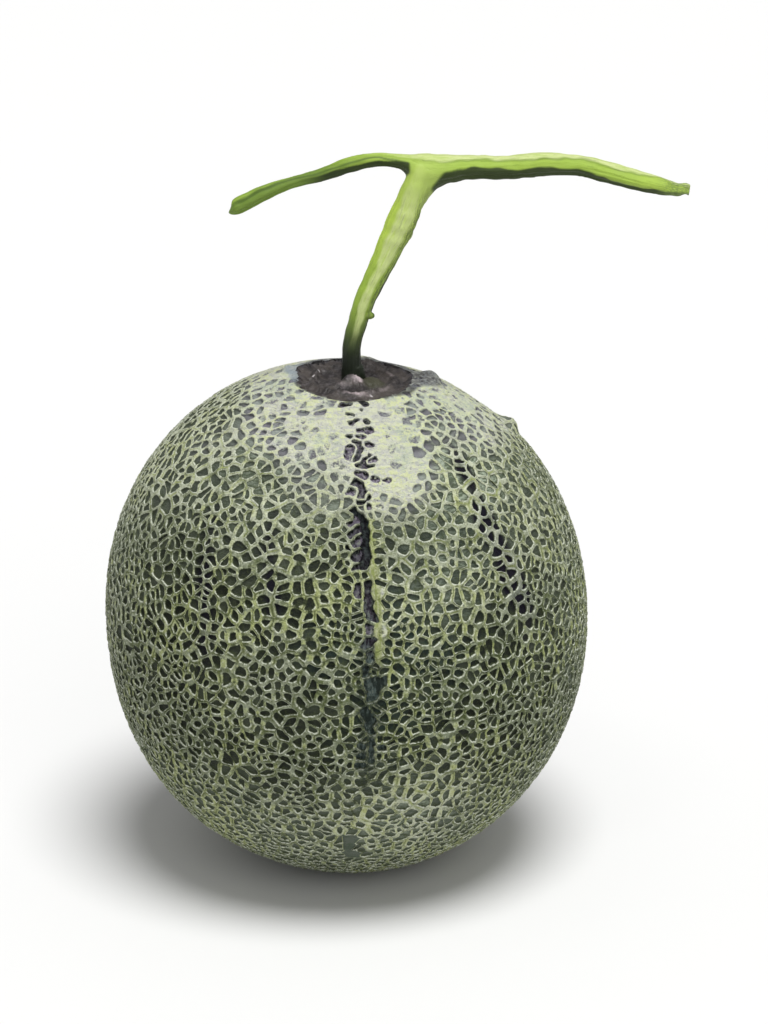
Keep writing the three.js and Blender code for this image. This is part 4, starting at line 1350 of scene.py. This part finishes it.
def stem_shades(body, angle, across, height):
    """How pale, dark, lined and fibrous the stem is, by the degrees round it and the place along it. The dark
    share is darker green and partly painted shade, on the vine's lower side and the stalk's right side.
    """
    if body == "vine":
        left = smooth(across, 22, 19)
        pale = band(angle, 46, 60, 110, 150) * (1 - 0.4 * left)
        under = band(angle, -150, -130, -90, -60)
        below = smooth(angle, -95, -80)
        edge = 8 - 36 * smooth(across, 56, 90)
        left_edge = -20 + 34 * smooth(across, 8, 17)
        # Darker green and partly painted shade on the vine's lower side.
        dark = (smooth(angle - edge, 6, -6) * below + under) * (1 - left)
        dark = dark + (smooth(angle - left_edge, 7, -7) * below + under) * left
        joint = smooth(across, 20.2, 19.2) + smooth(across - 0.7 * (height - 213.2), 24.0, 25.8)
        line = 0.5 * bell(angle - 50, 6) * (1 - left) + 0.3 * bell(angle - 44, 5) * left
        # A darker line along the left arm's groove: its colour, and partly painted shade in the groove.
        line = line + 1.1 * left_groove(angle, across - VINE[0][0])
        return pale, np.clip(dark, 0, 1) * joint, line, 0.4 * smooth(angle, 0, -20)
    high = smooth(height, 184, 200)
    pale = band(angle, -22 - 18 * high, -4 - 12 * high, 18 + 12 * high, 34 + 16 * high)
    # Darker green and partly painted shade on the stalk's right side.
    dark = smooth(angle, -58, -76) * (1 - 0.7 * smooth(height, 184, 196))
    line = bell(angle + 62, 5) + 0.8 * bell(angle + 40, 4)
    return pale, dark, line, smooth(angle, -14, -32)


def add_stem_values(mesh):
    """Fibre coordinates and shades, from the stalk's and the vine's centrelines, mixed where they meet."""
    points = points_of(mesh)
    ragged = 4 * waves(points, 41, 24, 0.07) + 3 * waves(points, 42, 24, 0.22)
    ratios, shades, grains = [], [], []
    for number, (body, rows, up) in enumerate([("stalk", STALK, LEFT), ("vine", VINE, UP)]):
        line, along = curve_points(rows, 1.0)
        centre, radius = line[:, :3], line[:, 3] / 2
        _, front, top = curve_frames(centre, np.array(up))
        apart = np.linalg.norm(points[:, None] - centre[None], axis=2)
        nearest = np.argmin(apart, axis=1)
        ratios.append(apart[np.arange(len(points)), nearest] / radius[nearest])
        away = points - centre[nearest]
        a, b = dot(away, front[nearest]), dot(away, top[nearest])
        angle = np.degrees(np.arctan2(b, a)) + section_turn(along, number + 1)[nearest] + ragged
        shades.append(np.array(stem_shades(body, angle, points[:, 0], points[:, 2])))
        grains.append(np.stack([a, b, along[nearest] * 0.1 + 50 * number], -1))
    vine = smooth(ratios[0] - ratios[1], -0.25, 0.25)
    pale, dark, line, fibrous = shades[0] * (1 - vine) + shades[1] * vine
    meeting = near_meeting(points)
    add_values(mesh, {"pale": pale, "dark": dark, "line": line * (1 - meeting), "fibrous": fibrous,
                      "vine": vine, "meeting": meeting, "torn": smooth(points[:, 0], 92, 99)})
    attribute = mesh.attributes.new("grain", "FLOAT_VECTOR", "POINT")
    grain = np.where((vine > 0.5)[:, None], grains[1], grains[0])
    attribute.data.foreach_set("vector", grain.astype(np.float32).ravel())


class Value:
    """A number in a material, which can be added, multiplied and spread like any other."""

    def __init__(self, shader, socket):
        self.shader = shader
        self.socket = socket

    def __add__(self, other):
        return self.shader.math("ADD", self, other)

    def __sub__(self, other):
        return self.shader.math("SUBTRACT", self, other)

    def __rsub__(self, other):
        return self.shader.math("SUBTRACT", other, self)

    def __mul__(self, other):
        return self.shader.math("MULTIPLY", self, other)

    def spread(self, low, high, to_low=0.0, to_high=1.0):
        """Smooth step from one number to another while this one goes from low to high."""
        inputs = {"Value": self, "From Min": low, "From Max": high, "To Min": to_low, "To Max": to_high}
        made = self.shader.node("ShaderNodeMapRange", inputs, interpolation_type="SMOOTHSTEP")
        return Value(self.shader, made.outputs[0])


class Shader:
    """A principled material and its nodes."""

    def __init__(self, name):
        self.material = bpy.data.materials.new(name)
        self.material.use_nodes = True
        self.tree = self.material.node_tree
        self.surface = self.tree.nodes["Principled BSDF"]
        self.place = self.node("ShaderNodeTexCoord").outputs["Object"]

    def node(self, kind, inputs=None, **settings):
        """A node, with its inputs by name or number."""
        made = self.tree.nodes.new(kind)
        for key, value in settings.items():
            setattr(made, key, value)
        self.plug(made, inputs or {})
        return made

    def plug(self, node, inputs):
        for key, value in inputs.items():
            value = value.socket if isinstance(value, Value) else value
            if isinstance(value, bpy.types.NodeSocket):
                self.tree.links.new(value, node.inputs[key])
            else:
                node.inputs[key].default_value = value

    def value(self, name):
        return Value(self, self.node("ShaderNodeAttribute", attribute_name=name).outputs["Fac"])

    def values(self, names):
        return [self.value(name) for name in names.split()]

    def vector(self, name):
        return self.node("ShaderNodeAttribute", attribute_name=name).outputs["Vector"]

    def axis(self, name):
        """How far a point is along an axis, in metres."""
        return Value(self, self.node("ShaderNodeSeparateXYZ", {0: self.place}).outputs[name])

    def math(self, operation, a, b):
        return Value(self, self.node("ShaderNodeMath", {0: a, 1: b}, operation=operation).outputs[0])

    def coats(self, colour, *coats):
        """A colour under coats of others, each with its share."""
        for coat, share in coats:
            colour = self.node("ShaderNodeMix", {0: share, 6: colour, 7: coat}, data_type="RGBA").outputs[2]
        return colour

    def noise(self, scale, detail=3.0, rough=0.55, at=None, stretch=None):
        """Noise with its scale in waves a metre."""
        place = at or self.place
        if stretch:
            place = self.node("ShaderNodeVectorMath", {0: place, 1: stretch}, operation="MULTIPLY").outputs[0]
        inputs = {"Vector": place, "Scale": scale, "Detail": detail, "Roughness": rough}
        return Value(self, self.node("ShaderNodeTexNoise", inputs).outputs["Fac"])

    def finished(self, colour, roughness, specular, relief=None, depth=1.0, strength=1.0):
        """The material. Its relief has its depth in millimetres."""
        self.plug(self.surface, {"Base Color": colour, "Roughness": roughness,
                                 "Specular IOR Level": specular})
        if relief:
            inputs = {"Height": relief, "Distance": depth * METRES, "Strength": strength}
            self.plug(self.surface, {"Normal": self.node("ShaderNodeBump", inputs).outputs[0]})
        return self.material


def srgb(red, green, blue):
    """A colour as read from a picture, from 0 to 255, for a shader."""
    parts = []
    for part in (red, green, blue):
        part /= 255
        parts.append(part / 12.92 if part <= 0.04045 else ((part + 0.055) / 1.055) ** 2.4)
    return (*parts, 1.0)


RIDGE_OLIVE = srgb(92, 102, 64)
RIDGE_GREY = srgb(132, 140, 116)
RIDGE_YELLOW = srgb(164, 173, 106)
RIDGE_PALE = srgb(210, 215, 190)
RIDGE_TRACK = srgb(106, 110, 110)
RIDGE_SIDE = srgb(68, 76, 50)
RIDGE_GROOVE = srgb(68, 78, 42)
HOLLOW_PALE = srgb(166, 176, 112)
CREST_HIGHLIGHT = srgb(220, 225, 208)
YELLOW_PALE = srgb(204, 210, 142)
CRUST = srgb(214, 216, 200)
CRUST_YELLOW = srgb(216, 222, 172)
CRUST_GREY = srgb(194, 195, 188)
CRUST_MINT = srgb(182, 194, 172)
CRUST_HOLE = srgb(108, 106, 118)
CRUST_HOLE_PALE = srgb(152, 158, 152)
BRUISE_DARK = srgb(58, 56, 62)
BRUISE_MID = srgb(116, 118, 126)
BRUISE_PALE = srgb(150, 160, 168)
FLOOR = srgb(26, 30, 21)
FLOOR_GREY = srgb(64, 70, 56)
FLOOR_TEAL = srgb(42, 58, 54)
FLOOR_DARK = srgb(18, 16, 28)
FLOOR_LILAC = srgb(130, 128, 136)
FILM_GREEN = srgb(98, 110, 88)
FURROW_DARK = srgb(13, 11, 17)
FURROW_GREEN = srgb(40, 50, 44)
FURROW_LILAC = srgb(142, 134, 150)
FURROW_MOSS = srgb(92, 106, 102)
BANK_PALE = srgb(176, 181, 140)
BANK_YELLOW = srgb(142, 152, 92)
PATCH_GREY = srgb(96, 104, 92)
PATCH_GREEN = srgb(80, 92, 76)
PATCH_CONTACT_SHADE = srgb(36, 46, 38)
SCAR_BROWN = srgb(122, 104, 74)


class RindShader(Shader):
    """The rind's material: the values and noises that its colours share, and the colours."""

    def __init__(self):
        super().__init__("netted_rind")
        self.net, self.groove, self.middle, self.closed = self.values("net groove middle closed")
        self.crust, self.lying, self.upper, self.tone = self.values("crust lying upper tone")
        self.pallor, self.haze, self.teal, self.track = self.values("pallor haze teal track")
        self.height = self.axis("Z")
        self.patches = self.noise(38, 3)
        self.broad = self.noise(110, 3, 0.6, stretch=(0.7, 0.7, 1.6))
        self.mottle = self.noise(260, 5, 0.7)
        self.flecks = self.noise(900, 3, 0.7)
        self.fine = self.noise(2200, 3, 0.6)
        self.streaks = self.noise(560, 5, 0.74, stretch=(0.55, 0.55, 2.2))
        self.hatch = self.noise(700, 3, 0.6, stretch=(1.6, 1.6, 0.6))
        self.fuzz = self.flecks - 0.5
        self.toned = self.tone + self.mottle
        self.crusty = self.crust_colour()

    def crust_colour(self):
        streaks, flecks = self.streaks, self.flecks
        return self.coats(
            CRUST_GREY,
            (CRUST, streaks.spread(0.4, 0.58)),
            (CRUST_MINT, (self.mottle + self.patches).spread(1.0, 1.2, 0, 0.6)),
            (CRUST_YELLOW, (streaks + flecks).spread(0.92, 1.12) * self.broad.spread(0.4, 0.6, 0.4, 0.95)),
            (RIDGE_GROOVE, flecks.spread(0.42, 0.3, 0, 0.4)))

    def furrow_colour(self):
        """Blackish slits, and the pale lilac floors between them, with painted shadow on their upper sides.
        """
        hatch, mottle, height = self.hatch, self.mottle, self.height
        pale = self.coats(
            FURROW_LILAC,
            (FURROW_MOSS, height.spread(0.098, 0.092)),
            # Painted shadow: a dark crescent on the upper side of each pale floor.
            (FURROW_DARK, (self.upper + mottle).spread(0.3, 1.1)),
            (FURROW_DARK, hatch.spread(0.5, 0.4, 0, 0.65)),
            (RIDGE_PALE, hatch.spread(0.54, 0.64, 0, 0.5)))
        return self.coats(
            FURROW_DARK,
            (FURROW_GREEN, height.spread(0.098, 0.082)),
            (FURROW_MOSS, (hatch + mottle).spread(0.92, 1.12) * height.spread(0.112, 0.098, 0.25, 0.8)),
            (pale, self.value("pale")))

    def floor_colour(self):
        """Skin in the holes of the net, with painted shadow on their upper sides and painted light on their
        lower sides.
        """
        toned, flecks, upper = self.toned, self.flecks, self.upper
        film = self.coats(FILM_GREEN, (CRUST_MINT, self.streaks.spread(0.42, 0.6)))
        lilac = self.coats(
            FLOOR_LILAC,
            (CRUST_HOLE_PALE, toned.spread(0.8, 1.3)),
            # Painted shadow: a dark crescent on the upper side of each hole in the crust.
            (FLOOR_DARK, upper.spread(0.0, 1.0, 0, 0.72)))
        return self.coats(
            FLOOR,
            (FLOOR_GREY, toned.spread(0.9, 1.45)),
            (PATCH_GREY, self.pallor * 0.45),
            (PATCH_GREY, self.height.spread(0.058, 0.026, 0, 0.6)),
            (FLOOR_TEAL, self.teal * self.mottle.spread(0.35, 0.6)),
            (film, self.haze * toned.spread(0.5, 1.2, 0.2, 0.95)),
            (RIDGE_GROOVE, flecks.spread(0.5, 0.66, 0, 0.4)),
            # Painted light: the lower side of each hole is lighter, as if lit from above.
            (RIDGE_SIDE, upper.spread(-0.3, -1.0, 0, 0.5)),
            (FLOOR_DARK, self.track.spread(0.15, 0.7)),
            (lilac, self.crust.spread(0.15, 0.8, 0, 0.9)),
            (self.crusty, (self.closed + self.fuzz * 1.5).spread(0.3, 0.9)),
            (self.furrow_colour(), self.value("furrow")))

    def crest(self):
        """Painted highlight on the middle of a ridge: most where it lies level and faces up towards the
        light.
        """
        crest = self.middle.spread(0.4, 0.0) * self.flecks.spread(0.38, 0.58, 0.1, 1.0)
        return crest * self.upper.spread(0.5, -0.5, 0.15, 1.0) * self.lying.spread(0.1, 0.8, 0.4, 1.0)

    def ridge_colour(self):
        """Top of the ridges, and what takes their place: crust, bank, bare patch and scar."""
        flecks, mottle, pallor = self.flecks, self.mottle, self.pallor
        yellow = self.coats(RIDGE_YELLOW, (YELLOW_PALE, pallor))
        hollow = self.coats(RIDGE_GROOVE, (HOLLOW_PALE, pallor))
        lines = self.noise(420, 4, 0.65, stretch=(3.0, 3.0, 0.5))
        bank = self.coats(BANK_PALE, (BANK_YELLOW, lines.spread(0.4, 0.58)))
        bare = self.coats(
            PATCH_GREY,
            (PATCH_GREEN, mottle.spread(0.4, 0.6)),
            # Painted contact shadow: darker near the ground.
            (PATCH_CONTACT_SHADE, self.height.spread(0.02, 0.007, 0, 0.9)))
        return self.coats(
            RIDGE_OLIVE,
            (RIDGE_GREY, mottle.spread(0.36, 0.62)),
            (yellow, (self.lying * -0.4 + (self.patches + flecks)).spread(0.7, 1.0, 0, 0.78)),
            (RIDGE_TRACK, self.track.spread(0.2, 0.9, 0, 0.6)),
            (RIDGE_PALE, pallor * mottle.spread(0.34, 0.62, 0.1, 0.85)),
            # Painted highlight on the ridges' upward edges.
            (CREST_HIGHLIGHT, self.crest()),
            (hollow, self.groove.spread(0.3, 0.85, 0, 0.9)),
            (RIDGE_SIDE, flecks.spread(0.47, 0.34, 0, 0.5)),
            (RIDGE_PALE, flecks.spread(0.56, 0.68, 0, 0.5)),
            (RIDGE_SIDE, self.fine.spread(0.46, 0.3, 0, 0.5)),
            (self.crusty, self.closed.spread(0.1, 0.8)),
            (FURROW_GREEN, self.value("dusk") * flecks.spread(0.35, 0.6, 0.95, 0.6)),
            (bank, self.value("bank")),
            (bare, self.value("patch").spread(0.1, 0.6)),
            (SCAR_BROWN, self.value("scar")))

    def side_colour(self):
        """The ridges with their sides, which are pale like the holes in the crust."""
        hole = self.coats(CRUST_HOLE, (CRUST_HOLE_PALE, (self.mottle + self.flecks).spread(0.9, 1.1)))
        return self.coats(
            RIDGE_SIDE,
            (hole, self.crust.spread(0.1, 0.9)),
            (self.ridge_colour(), (self.net + self.fuzz).spread(0.45, 0.85)))

    def bruise_colour(self):
        return self.coats(
            BRUISE_DARK,
            (BRUISE_MID, (self.flecks + self.mottle).spread(0.86, 1.12)),
            (BRUISE_PALE, self.axis("X").spread(-0.011, -0.016)),
            (BRUISE_DARK, self.axis("Y").spread(-0.005, -0.012)))


def rind_material():
    s = RindShader()
    bruised = s.value("bruise").spread(0.1, 0.9, 0, 0.92) * s.streaks.spread(0.34, 0.56, 0.55, 1)
    colour = s.coats(
        s.floor_colour(),
        (s.side_colour(), (s.net + s.fuzz).spread(0.1, 0.6)),
        (s.bruise_colour(), bruised))
    relief = s.fine * 0.5 + s.flecks * 0.9 + s.streaks * (s.closed * 0.9)
    return s.finished(colour, s.net.spread(0.1, 0.8, 0.55, 0.62), 0.14, relief)


DISC_DARK = srgb(40, 36, 36)
DISC_BROWN = srgb(72, 66, 62)
DISC_GREY = srgb(104, 98, 100)
DISC_ROSE = srgb(182, 168, 170)
DISC_OLIVE_SKIN = srgb(64, 64, 46)
DISC_GLINT = srgb(196, 190, 190)


def disc_material():
    s = Shader("stalk_disc")
    radius, patches, fine = s.value("radius"), s.noise(170, 4, 0.6), s.noise(800, 4, 0.7)
    ring = radius.spread(11.3, 11.9) * radius.spread(12.8, 12.2)
    colour = s.coats(
        DISC_DARK,
        (DISC_BROWN, patches.spread(0.36, 0.62)),
        (DISC_GREY, fine.spread(0.5, 0.72, 0, 0.6)),
        # Rose along the ring ridge: its colour, and partly a painted highlight.
        (DISC_ROSE, ring * patches.spread(0.5, 0.66, 0, 0.2)),
        (DISC_OLIVE_SKIN, s.value("olive").spread(0.15, 0.8, 0, 0.85)),
        # Rosy callus, and a painted highlight along the ring ridge's front.
        (DISC_ROSE, (s.value("rosy") * fine).spread(0.08, 0.5)),
        # Painted highlights.
        (DISC_GLINT, s.value("glint").spread(0.35, 0.8)),
        (BRUISE_DARK, radius.spread(15.8, 17.8) * fine.spread(0.4, 0.6)))
    return s.finished(colour, fine.spread(0.3, 0.7, 0.35, 0.6), 0.35, patches + fine * 0.5, 0.8, 0.9)


STEM_FOOT = srgb(24, 32, 18)
STEM_LOW = srgb(84, 104, 46)
STEM_BRIGHT = srgb(152, 180, 68)
STEM_LIME = srgb(178, 204, 82)
STEM_PALE = srgb(194, 208, 136)
STEM_TOP = srgb(198, 210, 142)
STEM_LEFT = srgb(106, 132, 48)
# Darker green with painted shade, for the stem's lower sides.
STEM_UNDER_SHADE = srgb(28, 42, 10)
STEM_LINE = srgb(70, 94, 26)
STEM_FIBRE = srgb(104, 116, 58)
STEM_TORN = srgb(108, 128, 64)
STEM_MEETING = srgb(172, 194, 96)


def vine_material():
    s = Shader("vine_skin")
    across, height = s.axis("X"), s.axis("Z")
    pale, dark, line, fibrous, vine, meeting, torn = s.values("pale dark line fibrous vine meeting torn")
    grain = s.vector("grain")
    stalk = 1.0 - vine
    away = (vine * stalk).spread(0.16, 0.02)
    fibres = (s.noise(1.3, 4, 0.65, at=grain) - 0.5) * away + 0.5
    fine = (s.noise(5.0, 3, 0.6, at=grain) - 0.5) * away + 0.5
    top = s.coats(STEM_PALE, (STEM_TOP, vine), (STEM_BRIGHT, vine * across.spread(0.018, 0.004)))
    darkest_shade = s.coats(STEM_UNDER_SHADE, (STEM_LEFT, across.spread(-0.004, -0.016)))
    colour = s.coats(
        STEM_LOW,
        (STEM_BRIGHT, height.spread(0.166, 0.182)),
        (STEM_LIME, stalk * height.spread(0.184, 0.202)),
        (STEM_LEFT, vine * across.spread(0.012, -0.012)),
        (STEM_LIME, vine * across.spread(0.082, 0.094, 0, 0.4)),
        (top, pale * fibres.spread(0.3, 0.55, 0.35, 1) * height.spread(0.163, 0.175)),
        (STEM_FIBRE, fibrous * fine.spread(0.4, 0.6)),
        (STEM_LINE, fibres.spread(0.55, 0.75, 0, 0.45)),
        (STEM_LINE, line * 0.8),
        (STEM_MEETING, meeting * dark.spread(0.7, 0.2)),
        # Darker green and partly painted shade on the lower sides.
        (darkest_shade, dark * 0.94),
        (STEM_TORN, torn * fine.spread(0.35, 0.6)),
        (STEM_FOOT, height.spread(0.176, 0.161)))
    return s.finished(colour, fibres.spread(0.3, 0.7, 0.42, 0.62), 0.3, fibres + fine * 0.4, 0.4, 0.8)


def add_floor():
    mesh = bpy.data.meshes.new("floor")
    corners = [(x * FLOOR_HALF, y * FLOOR_HALF, 0) for x, y in ((-1, -1), (1, -1), (1, 1), (-1, 1))]
    mesh.from_pydata(corners, [], [(0, 1, 2, 3)])
    mesh.materials.append(Shader("pale_floor").finished((0.8, 0.8, 0.795, 1), 0.8, 0.5))
    floor = bpy.data.objects.new("floor", mesh)
    bpy.context.scene.collection.objects.link(floor)


def aimed(made, at, target):
    made.location = Vector(at) * METRES
    made.rotation_euler = (Vector(target) - Vector(at)).to_track_quat("-Z", "Y").to_euler()
    bpy.context.scene.collection.objects.link(made)
    return made


def add_camera():
    camera = bpy.data.cameras.new("camera")
    camera.sensor_fit = "VERTICAL"
    camera.sensor_height = SENSOR
    camera.lens = LENS
    bpy.context.scene.camera = aimed(bpy.data.objects.new("camera", camera), CAMERA_AT, CAMERA_AIM)


def add_sun(name, at, strength, spread):
    """Even light from far off in a direction, with soft shadows by the spread in degrees."""
    lamp = bpy.data.lights.new(name, "SUN")
    lamp.energy = strength
    lamp.angle = math.radians(spread)
    aimed(bpy.data.objects.new(name, lamp), at, (0, 0, 0))


def add_studio():
    world = bpy.data.worlds.new("studio")
    bpy.context.scene.world = world
    world.use_nodes = True
    backdrop = world.node_tree.nodes["Background"]
    backdrop.inputs["Color"].default_value = (1, 1, 1, 1)
    backdrop.inputs["Strength"].default_value = SKY
    bpy.context.scene.view_settings.view_transform = "Standard"
    for sun in SUNS:
        add_sun(*sun)


def dress(made, node):
    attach(made, "root")
    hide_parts(node)


add_camera()
add_floor()
add_studio()
rng = np.random.default_rng(NET_SEED)
net = Net(rng)
rind = Rind(net, rng)
normals = rind.normals()
rind_skin = rind_material()
for name, azimuth in SECTORS.items():
    dress(rind_piece(name, azimuth, rind, normals, rind_skin), "fruit")
dress(stalk_disc(rind, disc_material()), "fruit")
dress(stem_piece(vine_material()), "stem")
